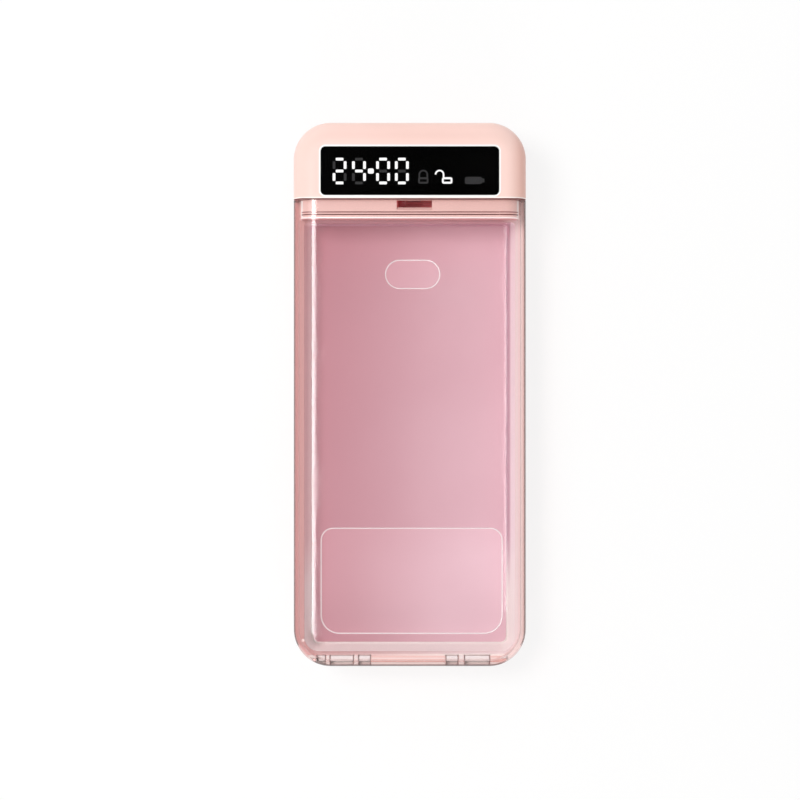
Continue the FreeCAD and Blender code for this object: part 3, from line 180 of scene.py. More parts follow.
class Sketch:
    """A material's or world's node tree while it is drawn."""

    def __init__(self, owner: bpy.types.ID) -> None:
        """Empty the owner's node tree.

        Args:
            owner: A material or world.
        """
        owner.use_nodes = True
        self.tree = owner.node_tree
        self.tree.nodes.clear()

    def node(self, kind: str, settings: dict | None = None, inputs: dict | None = None) -> Added:
        """Add any node.

        Args:
            kind: The node's type name.
            settings: Attributes of the node, which are set first.
            inputs: Socket name or number to a value or a wire.

        Returns:
            The added node.
        """
        made = self.tree.nodes.new(kind)
        for name, value in (settings or {}).items():
            setattr(made, name, value)
        for key, value in (inputs or {}).items():
            socket = made.inputs[key]
            if isinstance(value, Wire):
                self.tree.links.new(value.socket, socket)
            elif isinstance(value, tuple) and socket.type == "RGBA":
                socket.default_value = (*value, 1.0)
            else:
                socket.default_value = value
        return Added(self, made)

    def place(self) -> Wire:
        """The point on the piece, in metres in the frame of the solids."""
        return self.node("ShaderNodeTexCoord").out("Object")

    def axes(self, vector: Wire) -> tuple[Wire, Wire, Wire]:
        """Split a vector.

        Args:
            vector: What to split.

        Returns:
            Its three parts.
        """
        split = self.node("ShaderNodeSeparateXYZ", inputs={0: vector})
        return split.out(0), split.out(1), split.out(2)

    def noise(self, vector: Wire, grain: float, detail: float = 2.0) -> Wire:
        """Soft noise.

        Args:
            vector: Where on the piece.
            grain: Size of its features in metres.
            detail: How many finer layers it has.

        Returns:
            A value about 0.5.
        """
        inputs = {"Vector": vector, "Scale": 1.0 / grain, "Detail": detail}
        return self.node("ShaderNodeTexNoise", inputs=inputs).out(0)

    def blend(self, share: Wire, first: "Wire | Colour", second: "Wire | Colour") -> Wire:
        """Mix two colours.

        Args:
            share: 0 for the first and 1 for the second.
            first: A colour.
            second: A colour.

        Returns:
            The mixed colour.
        """
        settings = {"data_type": "RGBA"}
        return self.node("ShaderNodeMix", settings, {0: share, 6: first, 7: second}).out(2)

    def layer(self, share: "Wire | float", first: Wire, second: Wire) -> Wire:
        """Mix two shaders.

        Args:
            share: 0 for the first and 1 for the second.
            first: A shader.
            second: A shader.

        Returns:
            The mixed shader.
        """
        return self.node("ShaderNodeMixShader", inputs={0: share, 1: first, 2: second}).out()

    def bump(self, height: Wire, depth: float, strength: float = 1.0) -> Wire:
        """Raise a surface.

        Args:
            height: Height from 0 to 1.
            depth: What a height of 1 stands for, in metres.
            strength: How much of it counts.

        Returns:
            The bent normal.
        """
        inputs = {"Strength": strength, "Distance": depth, "Height": height}
        return self.node("ShaderNodeBump", inputs=inputs).out(0)

    def rays(self, *kinds: str) -> Wire:
        """1 for rays of any of the given kinds, such as "Is Camera Ray", and 0 for others."""
        path = self.node("ShaderNodeLightPath")
        share = path.out(kinds[0])
        for kind in kinds[1:]:
            share = share.larger(path.out(kind))
        return share

    def marks(self, value: Wire, places: tuple[float, ...], half: float, soft: float) -> Wire:
        """Pick out the values near any of some places.

        Args:
            value: The value to look at.
            places: The places.
            half: How far from a place counts as near.
            soft: How wide the change there is.

        Returns:
            1 near a place and 0 elsewhere.
        """
        share = 0.0
        for place in places:
            near = abs(value - place).fall(half - soft, half + soft)
            share = near.larger(share)
        return share

    def finish(self, shader: Wire, target: str = "ShaderNodeOutputMaterial") -> None:
        """Connect the shader to the output."""
        self.node(target, inputs={0: shader})


# ---------------------------------------------------------------- finishes


# Where the hinge's knuckles end along X, and the fine line of painted shade in the gaps there.
KNUCKLE_ENDS = (
    -0.0380, -0.0344, -0.0324, -0.0230, -0.0208, -0.0160, 0.0148, 0.0197, 0.0224, 0.0326
)
KNUCKLE_SHADE_LINE = {"half": 0.00022, "soft": 0.00006}
SCHLICK_POWER = 5.0


@dataclass(frozen=True)
class Finish:
    """A finish that is made into a material; each kind draws its own surface."""

    name: str

    def make(self) -> bpy.types.Material:
        """Build the material."""
        material = bpy.data.materials.new(self.name)
        sketch = Sketch(material)
        sketch.finish(self.surface(sketch, sketch.place()))
        return material

    def surface(self, sketch: Sketch, place: Wire) -> Wire:
        """Draw the finish.

        Args:
            sketch: The material's node tree.
            place: The point on the piece.

        Returns:
            The shader.
        """
        raise NotImplementedError


@dataclass(frozen=True)
class Moulded(Finish):
    """Moulded plastic with a fine spark-eroded grain and slight flow marks.

    Some parts get a painted glow: an emission that stands in for light that no lamp gives them.
    """

    colour: Colour
    shade: Colour
    roughness: float = 0.38
    roughness_spread: float = 0.12
    grain: float = 0.00035
    grain_depth: float = 0.000006
    flow: float = 0.045
    flow_span: Pair = (0.3, 0.7)
    flow_spread: float = 0.08
    specular: float = 0.5
    # Painted glow: an emitted colour and level that stand in for light, not a lamp.
    painted_glow: Colour = BLACK
    painted_glow_level: float = 0.0

    def surface(self, sketch: Sketch, place: Wire) -> Wire:
        """Draw grain, flow marks and the colour of this kind of plastic."""
        flow = sketch.noise(place, self.flow, 3.0)
        fine = sketch.noise(place, self.grain, 4.0)
        colour = sketch.blend(flow.rise(*self.flow_span), self.shade, self.colour)
        roughness = fine.around(self.roughness, self.roughness_spread)
        inputs = {
            "Base Color": self.colouring(sketch, place, colour),
            "Roughness": roughness + flow.around(0.0, self.flow_spread),
            "Specular IOR Level": self.specular,
            "Normal": sketch.bump(fine, self.grain_depth),
            # The emission is a painted glow.
            "Emission Color": self.painted_glow,
            "Emission Strength": self.painted_glow_level,
        }
        return sketch.node("ShaderNodeBsdfPrincipled", inputs=inputs).out()

    def colouring(self, sketch: Sketch, place: Wire, plain: Wire) -> Wire:
        """Give the plastic its colour; a kind with marks of its own adds them here.

        Args:
            sketch: The material's node tree.
            place: The point on the piece.
            plain: The colour without marks.

        Returns:
            The colour to use.
        """
        return plain


@dataclass(frozen=True)
class HeadShell(Moulded):
    """The shell plastic with painted shade in the seam at the lid's end, in the grooves, on the
    ledge's front and towards the right edge, and painted highlights on its lip and the ledge's
    sides.
    """

    # Painted shade for the seam at the lid's end and for the grooves; the same colour marks the
    # parting line, a dark joint.
    painted_shade_and_joint: Colour = (0.28, 0.07, 0.07)
    # Painted shade in the lower groove, darker still.
    deepest_shade: Colour = (0.14, 0.02, 0.02)
    # Painted highlight on the lip at the head's lower edge and on the edges of the ledge's sides.
    pale: Colour = (1.0, 0.93, 0.88)
    # Painted shade on the ledge's front face.
    front: Colour = (0.78, 0.42, 0.42)
    front_depth: float = 0.0003
    front_top: Pair = (0.0262, 0.0265)
    # Painted shade, deeper towards the right edge of the head's shoulder.
    east_shading: Colour = (0.87, 0.50, 0.42)
    east_span: Pair = (0.0395, 0.0475)
    east_levels: Pair = (0.0160, 0.0230)
    face_y: float = 0.07885
    # Painted shade in the gap between the head's face and the lid's end.
    seam_width: float = 0.0005
    seam_overlap: float = 0.0001
    seam_top: Pair = (0.0288, 0.0296)
    lip_width: float = 0.0005
    ledge_y: float = 0.07125
    ledge_half: float = LEDGE_HALF
    ledge_top: Pair = (0.0270, 0.0271)
    side_width: float = 0.0010
    side_end: Pair = (0.0780, 0.0783)
    side_levels: Pair = (0.0200, 0.0215)
    # Painted shade in the ledge's grooves and along their lines over its shoulders.
    groove_setbacks: Pair = (0.0010, 0.0020)
    groove_width: float = 0.0005
    groove_half: float = 0.036
    groove_levels: Pair = (0.0240, 0.0244)
    groove_share: float = 0.85
    parting_levels: Pair = (0.0151, 0.0152)
    step: float = 0.0002
    edge_soft: float = 0.00008

    def colouring(self, sketch: Sketch, place: Wire, plain: Wire) -> Wire:
        """Paint shade into the seam, grooves, right edge and ledge front, paint highlights on the
        lip and sides, and darken the parting line.
        """
        x, y, z = sketch.axes(place)
        head = y.rise(self.face_y, self.face_y + self.step)
        # Painted shade towards the head's right edge.
        right_edge_shade = x.rise(*self.east_span) * z.rise(*self.east_levels) * head
        toned = sketch.blend(right_edge_shade, plain, self.east_shading)
        # Painted shade on the ledge's front face.
        front = y.band(self.ledge_y - self.front_depth, self.ledge_y + self.step, self.edge_soft)
        toned = sketch.blend(front * z.fall(*self.front_top), toned, self.front)
        # Painted highlight along the lip at the head's lower edge.
        lip = y.band(self.face_y, self.face_y + self.lip_width, self.edge_soft * 2.0)
        highlighted = sketch.blend(lip.larger(self._side_highlights(x, y, z)), toned, self.pale)
        # Painted shade in the seam at the lid's end.
        seam = (self.face_y - self.seam_width, self.face_y + self.seam_overlap)
        seam = y.band(*seam, self.edge_soft) * z.fall(*self.seam_top)
        # Painted shade in the grooves, darkest in the lower one.
        grooves, lower = self._grooves(sketch, x, y, z)
        shaded = sketch.blend(seam.larger(grooves), highlighted, self.painted_shade_and_joint)
        shaded = sketch.blend(lower, shaded, self.deepest_shade)
        # The parting line below the head is a dark joint.
        return sketch.blend(z.fall(*self.parting_levels) * head, shaded, self.painted_shade_and_joint)

    def _side_highlights(self, x: Wire, y: Wire, z: Wire) -> Wire:
        """Where the painted highlight on the edges of the ledge's sides goes."""
        half = (self.ledge_half - self.side_width, self.ledge_half + self.step)
        along = y.fall(*self.side_end) * y.rise(self.ledge_y - self.front_depth, self.ledge_y)
        return abs(x).band(*half, self.edge_soft) * along * z.rise(*self.side_levels)

    def _grooves(self, sketch: Sketch, x: Wire, y: Wire, z: Wire) -> tuple[Wire, Wire]:
        """Where painted shade goes in the ledge's two grooves, which run on as painted lines over
        its shoulders.

        Args:
            sketch: The material's node tree.
            x: How far to the right.
            y: How far along.
            z: How high.

        Returns:
            The painted shade's shares for both grooves and for the lower, darker one.
        """
        half = self.groove_width / 2.0
        middles = tuple(self.ledge_y + setback + half for setback in self.groove_setbacks)
        within = abs(x).fall(self.groove_half, self.groove_half + self.step)
        sunk = z.rise(*self.groove_levels) * (1.0 - z.rise(*self.ledge_top) * within)
        both = sketch.marks(y, middles, half, self.edge_soft) * sunk
        lower = sketch.marks(y, middles[:1], half, self.edge_soft) * both
        return both * self.groove_share, lower * self.groove_share


@dataclass(frozen=True)
class TubShell(Moulded):
    """The shell plastic, with painted shade and a painted highlight on the flange under the lid,
    and a painted highlight and painted shade lines on the hinge.
    """

    # Painted shade on the flange's left and a painted highlight on its right, under the lid.
    flange_west_shade: Colour = (0.76, 0.46, 0.45)
    flange_east_highlight: Colour = (1.0, 0.93, 0.89)
    flange_span: Pair = (-0.047, 0.0282)
    flange_levels: Pair = (0.0148, 0.0153)
    flange_end: Pair = (0.078, 0.079)
    # Painted highlight along the top of the shell's hinge barrels.
    pale: Colour = (0.98, 0.84, 0.80)
    # Painted shade lines at the knuckles' ends; the same colour darkens the parting line, a dark
    # joint.
    dark: Colour = (0.40, 0.22, 0.21)
    crest: Pair = (-0.1079, -0.1073)
    crest_levels: Pair = (0.0160, 0.0162)
    barrel_end: Pair = (-0.1064, -0.1062)
    barrel_levels: Pair = (0.0135, 0.0140)
    parting_levels: Pair = (0.0148, 0.0149)
    head_start: Pair = (0.0790, 0.0792)
    soft: float = 0.0001

    def colouring(self, sketch: Sketch, place: Wire, plain: Wire) -> Wire:
        """Paint shade and a highlight on the flange from side to side, a highlight on the barrels'
        crest and shade lines at their ends; darken the parting line.
        """
        x, y, z = sketch.axes(place)
        flange = sketch.blend(x.rise(*self.flange_span), self.flange_west_shade, self.flange_east_highlight)
        on_flange = z.band(*self.flange_levels, self.soft) * y.fall(*self.flange_end)
        toned = sketch.blend(on_flange, plain, flange)
        # Painted highlight along the barrels' crest.
        crest = y.band(*self.crest, self.soft) * z.rise(*self.crest_levels)
        highlighted = sketch.blend(crest, toned, self.pale)
        # Painted shade lines in the gaps at the knuckles' ends.
        ends = sketch.marks(x, KNUCKLE_ENDS, **KNUCKLE_SHADE_LINE)
        ends = ends * y.fall(*self.barrel_end) * z.rise(*self.barrel_levels)
        parting = z.rise(*self.parting_levels) * y.rise(*self.head_start)
        return sketch.blend(ends.larger(parting), highlighted, self.dark)


@dataclass(frozen=True)
class SoftMat(Finish):
    """Soft matte lining with a fine leather-like pebble."""

    colour: Colour
    shade: Colour
    # Painted shade towards the left, if given.
    west_shade: Colour | None = None
    half_width: float = 0.037
    cloud: float = 0.05
    cloud_span: Pair = (0.25, 0.75)
    pebble: float = 0.0006
    pebble_depth: float = 0.00002
    pebble_share: float = 0.6
    roughness: float = 0.625
    roughness_spread: float = 0.15
    specular: float = 0.3

    def surface(self, sketch: Sketch, place: Wire) -> Wire:
        """Draw the pebble and a cloudy colour, with painted shade that may darken it towards the
        left.
        """
        cloud = sketch.noise(place, self.cloud, 3.0)
        inputs = {"Vector": place, "Scale": 1.0 / self.pebble}
        cells = sketch.node("ShaderNodeTexVoronoi", inputs=inputs).out("Distance")
        colour = sketch.blend(cloud.rise(*self.cloud_span), self.shade, self.colour)
        if self.west_shade:
            across = sketch.axes(place)[0].rise(-self.half_width, self.half_width)
            colour = sketch.blend(across, self.west_shade, colour)
        inputs = {
            "Base Color": colour,
            "Roughness": cells.around(self.roughness, self.roughness_spread),
            "Specular IOR Level": self.specular,
            "Normal": sketch.bump(cells, self.pebble_depth, self.pebble_share),
        }
        return sketch.node("ShaderNodeBsdfPrincipled", inputs=inputs).out()


@dataclass(frozen=True)
class Lining(Finish):
    """Satin inner tray: sloping sides, paler on the right and towards the hinge as painted light,
    painted shade in the right crease, on the far slope and on the flange's left, painted light in
    the far gutter, and a pink top flange.
    """

    side: Colour
    # Painted light on the right slope.
    side_east_light: Colour
    # Painted shade in the crease at the right slope's foot.
    crease_shade: Colour
    # Painted light: paler towards the hinge end.
    end: Colour
    # Painted shade on the far slope under the ledge.
    far: Colour
    # Painted light in the far gutter, against its shade.
    gutter_light: Colour
    flange: Colour
    # Painted shade on the flange's left.
    flange_west_shade: Colour
    end_starts: float = -0.055
    end_full: float = -0.085
    far_span: Pair = (0.0635, 0.0685)
    far_half: Pair = (0.037, 0.042)
    gutter_levels: Pair = (0.0052, 0.0062)
    east_span: Pair = (0.036, 0.038)
    crease_span: Pair = (0.0411, 0.0417)
    flange_levels: Pair = (0.0142, 0.0149)
    half_width: float = 0.045
    grain: float = 0.0004
    grain_depth: float = 0.000005
    flow: float = 0.04
    flow_spread: float = 0.08
    roughness: float = 0.42
    roughness_spread: float = 0.1
    specular: float = 0.4

    def surface(self, sketch: Sketch, place: Wire) -> Wire:
        """Draw the fine grain over the tones of sides, ends and flange."""
        fine = sketch.noise(place, self.grain, 4.0)
        flow = sketch.noise(place, self.flow, 3.0)
        roughness = fine.around(self.roughness, self.roughness_spread)
        inputs = {
            "Base Color": self._colour(sketch, place),
            "Roughness": roughness + flow.around(0.0, self.flow_spread),
            "Specular IOR Level": self.specular,
            "Normal": sketch.bump(fine, self.grain_depth),
        }
        return sketch.node("ShaderNodeBsdfPrincipled", inputs=inputs).out()

    def _colour(self, sketch: Sketch, place: Wire) -> Wire:
        """The tray's tone at each point, with its painted light and painted shade."""
        x, y, z = sketch.axes(place)
        # Painted shade in the right crease and painted light on the right slope, then painted light
        # towards the hinge end.
        east_shading = sketch.blend(x.rise(*self.crease_span), self.crease_shade, self.side_east_light)
        slope = sketch.blend(x.rise(*self.east_span), self.side, east_shading)
        slope = sketch.blend(y.rise(self.end_full, self.end_starts), self.end, slope)
        across = x.rise(-self.half_width, self.half_width)
        flange = sketch.blend(across, self.flange_west_shade, self.flange)
        toned = sketch.blend(z.rise(*self.flange_levels), slope, flange)
        # Painted shade on the far slope under the ledge, and painted light in its gutter.
        far = y.rise(*self.far_span)
        toned = sketch.blend(far * abs(x).fall(*self.far_half), toned, self.far)
        return sketch.blend(far * z.fall(*self.gutter_levels), toned, self.gutter_light)


@dataclass(frozen=True)
class Clear(Finish):
    """Clear moulded plastic: tinted where it is seen edge on, with a faint polished gloss."""

    tint: Colour
    rim: Colour
    outline: Colour
    wall_tint: Colour = (0.95, 0.88, 0.88)
    rim_from: float = 0.35
    outline_from: float = 0.55
    outline_to: float = 0.70
    mirror: float = 0.035
    roughness: float = 0.02
    polish: float = 0.02
    polish_span: Pair = (0.4, 0.8)
    frost: Colour = (0.95, 0.92, 0.90)
    frost_share: float = 0.0
    frost_spread: float = 0.1
    frost_grain: float = 0.002

    def surface(self, sketch: Sketch, place: Wire) -> Wire:
        """Draw the tints from face on to edge on, the milky layers and the gloss."""
        edge_on = sketch.node("ShaderNodeLayerWeight", inputs={"Blend": 0.5}).out("Facing")
        body, wall, rim, outline = (
            sketch.node("ShaderNodeBsdfTransparent", inputs={0: colour}).out()
            for colour in (self.tint, self.wall_tint, self.rim, self.outline)
        )
        body = sketch.layer(self.walls(sketch, place), body, wall)
        body = sketch.layer(edge_on.rise(self.rim_from, self.outline_from), body, rim)
        line = edge_on.rise(self.outline_from, self.outline_to) * self.outer(sketch, place)
        body = sketch.layer(line, body, outline)
        for share, colour in self.frosting(sketch, place):
            milk = sketch.node("ShaderNodeBsdfDiffuse", inputs={0: colour}).out()
            body = sketch.layer(share, body, milk)
        polish = sketch.noise(place, self.polish).rise(*self.polish_span)
        inputs = {"Roughness": polish * self.roughness + self.roughness}
        gloss = sketch.node("ShaderNodeBsdfGlossy", inputs=inputs).out()
        share = edge_on**SCHLICK_POWER * (1.0 - self.mirror) + self.mirror
        share = share * sketch.rays("Is Camera Ray") * self.polished(sketch, place)
        return sketch.layer(share, body, gloss)

    def walls(self, sketch: Sketch, place: Wire) -> "Wire | float":
        """Where the walls' own tint shows: 0 on every face, or a share for each point."""
        return 0.0

    def outer(self, sketch: Sketch, place: Wire) -> "Wire | float":
        """Where the outline shows: 1 on every face, or a share for each point."""
        return 1.0

    def polished(self, sketch: Sketch, place: Wire) -> "Wire | float":
        """Where the plastic mirrors: 1 on every face, or a share for each point."""
        return 1.0

    def frosting(self, sketch: Sketch, place: Wire) -> list[tuple[Wire, Colour]]:
        """How milky the plastic is at each point.

        Args:
            sketch: The material's node tree.
            place: The point on the piece.

        Returns:
            Each milky layer's share from 0 to 1 and its colour.
        """
        if not self.frost_share:
            return []
        cloud = sketch.noise(place, self.frost_grain)
        return [(cloud * self.frost_spread + self.frost_share, self.frost)]


@dataclass(frozen=True)
class LidPlastic(Clear):
    """The lid's plastic, satin and pale on its hinge barrels, partly as painted light, with a
    painted shade line at each end.
    """

    # Painted shade lines at the barrels' ends, along the right wall's foot and at the far end.
    dark: Colour = (0.40, 0.26, 0.25)
    wall_levels: Pair = (0.0158, 0.0212)
    wall_soft: float = 0.0004
    rim_level: float = 0.0154
    rim_step: float = 0.0003
    inner_half: float = 0.0451
    inner_y: float = -0.1081
    barrel_end: Pair = (-0.1065, -0.1063)
    barrel_levels: Pair = (0.0132, 0.0168)
    foot_span: Pair = (0.0464, 0.0466)
    foot_share: float = 0.5
    end_span: Pair = (0.07835, 0.07840)
    end_share: float = 0.3
    step: float = 0.0002
    soft: float = 0.0001

    def walls(self, sketch: Sketch, place: Wire) -> Wire:
        """The upright walls are tinted more than the plate."""
        return sketch.axes(place)[2].band(*self.wall_levels, self.wall_soft)

    def outer(self, sketch: Sketch, place: Wire) -> Wire:
        """The outline shows on the outer faces only, not on those that look into the box."""
        x, y, _ = sketch.axes(place)
        sides = abs(x).rise(self.inner_half, self.inner_half + self.step)
        return sides.larger(y.fall(self.inner_y - self.step, self.inner_y))

    def polished(self, sketch: Sketch, place: Wire) -> Wire:
        """The walls' lower rims, which are seen from inside the plastic, are dull."""
        return sketch.axes(place)[2].rise(self.rim_level, self.rim_level + self.rim_step)

    def frosting(self, sketch: Sketch, place: Wire) -> list[tuple[Wire, Colour]]:
        """Milky on the barrels, partly as painted light; painted shade lines at their ends, under
        the right wall and at the far end.
        """
        x, y, z = sketch.axes(place)
        barrels = y.fall(*self.barrel_end) * z.band(*self.barrel_levels, self.soft)
        ends = barrels * sketch.marks(x, KNUCKLE_ENDS, **KNUCKLE_SHADE_LINE)
        # Painted shade line along the foot of the right wall.
        foot = x.rise(*self.foot_span) * z.fall(self.rim_level, self.rim_level + self.step)
        # Painted shade at the far end, against the head.
        far_end_shade = y.rise(*self.end_span) * self.end_share
        return [
            # Milky barrels, pale partly as painted light where they face away from the lamps.
            (barrels * self.frost_share, self.frost),
            (ends.larger(foot * self.foot_share).larger(far_end_shade), self.dark),
        ]


@dataclass(frozen=True)
class Metal(Finish):
    """Plain or brushed metal, with the brushing along X."""

    colour: Colour
    roughness: float = 0.28
    brush: float = 0.0004
    brush_depth: float = 0.000003
    stretch: Point = (0.05, 1.0, 1.0)
    shade: float = 0.8
    roughness_spread: float = 0.16

    def surface(self, sketch: Sketch, place: Wire) -> Wire:
        """Draw the brushing as fine stretched lines."""
        inputs = {0: place, 1: self.stretch}
        along = sketch.node("ShaderNodeVectorMath", {"operation": "MULTIPLY"}, inputs).out()
        lines = sketch.noise(along, self.brush, 3.0)
        darker = tuple(part * self.shade for part in self.colour)
        inputs = {
            "Base Color": sketch.blend(lines, darker, self.colour),
            "Metallic": 1.0,
            "Roughness": lines.around(self.roughness, self.roughness_spread),
            "Normal": sketch.bump(lines, self.brush_depth),
        }
        return sketch.node("ShaderNodeBsdfPrincipled", inputs=inputs).out()


@dataclass(frozen=True)
class Lit(Finish):
    """A light pipe: its face evenly lit from behind or dark, and its walls black."""

    colour: Colour
    lamp: Colour
    glow: float
    wall: Colour = BLACK
    wall_levels: Pair = (0.02725, 0.02835)
    wall_soft: float = 0.00002
    haze: float = 0.0012
    shade: float = 0.92
    roughness: float = 0.6
    roughness_spread: float = 0.2
    specular: float = 0.1

    def surface(self, sketch: Sketch, place: Wire) -> Wire:
        """Draw a slightly hazy face and black walls."""
        haze = sketch.noise(place, self.haze, 1.0)
        dim = tuple(part * self.shade for part in self.colour)
        face = sketch.blend(haze, dim, self.colour)
        walls = sketch.axes(place)[2].band(*self.wall_levels, self.wall_soft)
        inputs = {
            "Base Color": sketch.blend(walls, face, self.wall),
            "Roughness": haze.around(self.roughness, self.roughness_spread),
            "Emission Color": sketch.blend(walls, self.lamp, self.wall),
            "Emission Strength": self.glow,
            "Specular IOR Level": self.specular,
        }
        return sketch.node("ShaderNodeBsdfPrincipled", inputs=inputs).out()


SHELL_PINK = (0.93, 0.66, 0.60)
SHELL_SHADE = (0.90, 0.62, 0.56)
# Red of the painted glow on the sensor and on the pocket below the slot.
PAINTED_RED_GLOW = (1.0, 0.11, 0.13)

FINISHES = {
    "pink_case": Moulded("pink_shell_plastic", SHELL_PINK, SHELL_SHADE, 0.5, specular=0.35),
    "tray": Lining(
        "tray_plastic",
        # The tray's painted light and painted shade are set here.
        side=(0.91, 0.70, 0.70),
        side_east_light=(1.0, 0.94, 0.97),
        crease_shade=(0.72, 0.52, 0.60),
        end=(1.0, 0.98, 0.95),
        far=(0.66, 0.42, 0.46),
        gutter_light=(0.94, 0.64, 0.74),
        flange=(0.93, 0.79, 0.79),
        flange_west_shade=(0.62, 0.36, 0.35),
    ),
    # The lining's west colour is painted shade towards the left.
    "mat": SoftMat("tray_lining", (0.82, 0.56, 0.63), (0.77, 0.51, 0.58), west_shade=(0.61, 0.33, 0.38)),
    "foot_rubber": SoftMat("foot_rubber_soft", (0.45, 0.31, 0.30), (0.40, 0.27, 0.26)),
    # The lid's barrels are made milky and pale, partly as painted light.
    "clear_plastic": LidPlastic(
        "lid_clear_plastic", (0.976, 0.952, 0.957), (1.0, 0.89, 0.88), (0.34, 0.22, 0.21),
        frost=(0.98, 0.97, 0.95), frost_share=0.93,
    ),
    "steel": Metal("plain_steel", (0.62, 0.62, 0.63)),
    "white_trim": Moulded(
        "display_frame_white", (0.95, 0.94, 0.93), (0.92, 0.91, 0.90), roughness=0.25
    ),
    "smoked_lens": Clear(
        "display_window_pane", (0.9, 0.9, 0.9), (0.8, 0.8, 0.8), (0.7, 0.7, 0.7), mirror=0.004
    ),
    "black_mask": Moulded(
        "black_light_frame", (0.002, 0.002, 0.002), (0.001, 0.001, 0.001), 0.6, specular=0.0
    ),
    "lit": Lit("lit_light_pipe", (0.3, 0.3, 0.3), (1.0, 1.0, 1.0), 0.95),
    "unlit": Lit("dark_light_pipe", (0.05, 0.05, 0.052), (0.05, 0.05, 0.052), 0.0),
    "board": Moulded("green_solder_mask", (0.03, 0.17, 0.08), (0.02, 0.12, 0.06), 0.3),
    "cell_wrap": Metal("cell_foil", (0.55, 0.58, 0.62), 0.4, 0.002),
    "flex": Moulded("amber_film", (0.55, 0.28, 0.05), (0.48, 0.24, 0.04), 0.3),
    "grey_plastic": Moulded("grey_mechanism_plastic", (0.5, 0.5, 0.52), (0.45, 0.45, 0.47), 0.45),
    "brass": Metal("machined_brass", (0.78, 0.6, 0.28), 0.25, 0.0002),
    "button": Moulded("ivory_key_plastic", (0.93, 0.84, 0.79), (0.9, 0.8, 0.75), roughness=0.3),
}

SPECIAL_FINISHES = {
    "head_cover": HeadShell(
        "pink_head_plastic", SHELL_PINK, (0.91, 0.63, 0.57), 0.36, specular=0.4
    ),
    "base_shell": TubShell("pink_tub_plastic", SHELL_PINK, SHELL_SHADE, 0.45, specular=0.35),
    # The sensor's red plastic has a painted red glow.
    "lid_sensor": Moulded(
        "infrared_red_plastic", (0.30, 0.03, 0.035), (0.26, 0.02, 0.03), 0.3,
        painted_glow=PAINTED_RED_GLOW, painted_glow_level=0.13,
    ),
}

EXTRA_FINISHES = {
    # The pocket's red plastic has a painted red glow.
    "pocket": Moulded(
        "pocket_plastic", (0.95, 0.30, 0.30), (0.92, 0.27, 0.27),
        painted_glow=PAINTED_RED_GLOW, painted_glow_level=0.07,
    ),
    # A pale, glowing bead: a painted highlight along the ledge's front edge.
    "bead": Moulded(
        "painted_highlight_bead_plastic", (1.0, 0.94, 0.92), (1.0, 0.92, 0.90), 0.2,
        painted_glow=(1.0, 0.8, 0.77), painted_glow_level=0.12,
    ),
    "saddle": Moulded("pearl_plastic", (0.96, 0.92, 0.89), (0.93, 0.88, 0.85), 0.22),
    # Polished rims whose milky share paints the openings' bright edge line, a painted highlight.
    "rim": Clear(
        "polished_opening_rim", (0.99, 0.97, 0.97), (0.95, 0.88, 0.88), (0.8, 0.7, 0.7),
        frost=(1.0, 0.97, 0.97), frost_share=0.5,
    ),
}


class Paintbox:
    """Makes each finish once and gives it to the solids by their slots."""

    def __init__(self, record: dict, nodes: dict[str, bpy.types.Object]) -> None:
        """Take the record's slots.

        Args:
            record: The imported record.
            nodes: The solids by name.
        """
        self.slots = {row["node"]: row["material_slot"] for row in record["subparts"]}
        self.nodes = nodes
        self.made = {slot: finish.make() for slot, finish in FINISHES.items()}
        self.special = {node: finish.make() for node, finish in SPECIAL_FINISHES.items()}
        self.extra = {name: finish.make() for name, finish in EXTRA_FINISHES.items()}

    def dress(self, *names: str) -> None:
        """Give solids their finish.

        Args:
            names: The solids to dress.
        """
        for name in names:
            solid = self.nodes[name]
            material = self.special.get(name, self.made[self.slots[name]])
            if not solid.material_slots:
                solid.data.materials.append(material)
            for slot in solid.material_slots:
                slot.material = material
            LOG.info("%s dressed as %s", name, material.name)


# ---------------------------------------------------------------- modelling


@dataclass(frozen=True)
class Outline:
    """A closed outline in plan: each point with the direction into the opening."""

    points: tuple[tuple[Vector, Vector], ...]

    @classmethod
    def rounded(
        cls, corner: Pair, far_corner: Pair, radius: float, far_radius: float, steps: int = 12
    ) -> "Outline":
        """A rectangle with rounded corners.

        Args:
            corner: Its lowest x and y.
            far_corner: Its highest x and y.
            radius: Corner radius at the lowest y.
            far_radius: Corner radius at the highest y.
            steps: Points along each corner.

        Returns:
            The outline, counter-clockwise from the right side's lower corner.
        """
        (x0, y0), (x1, y1) = corner, far_corner
        corners = (
            (x1 - radius, y0 + radius, radius, -90.0),
            (x1 - far_radius, y1 - far_radius, far_radius, 0.0),
            (x0 + far_radius, y1 - far_radius, far_radius, 90.0),
            (x0 + radius, y0 + radius, radius, 180.0),
        )
        points = []
        for x, y, bend, start in corners:
            for step in range(steps + 1):
                angle = math.radians(start + 90.0 * step / steps)
                outward = Vector((math.cos(angle), math.sin(angle)))
                points.append((Vector((x, y)) + outward * bend, -outward))
        return cls(tuple(points))

    def sweep(self, shape: bmesh.types.BMesh, profile: tuple[Pair, ...]) -> None:
        """Run a closed profile round the outline.

        Args:
            shape: The mesh that is drawn.
            profile: Points as (distance into the opening, height).
        """
        rings = []
        for point, inward in self.points:
            ring = []
            for depth, height in profile:
                place = point + inward * depth
                ring.append(shape.verts.new((place.x, place.y, height)))
            rings.append(ring)
        for ring, following in zip(rings, rings[1:] + rings[:1]):
            for number, vert in enumerate(ring):
                after = (number + 1) % len(ring)
                shape.faces.new((vert, following[number], following[after], ring[after]))


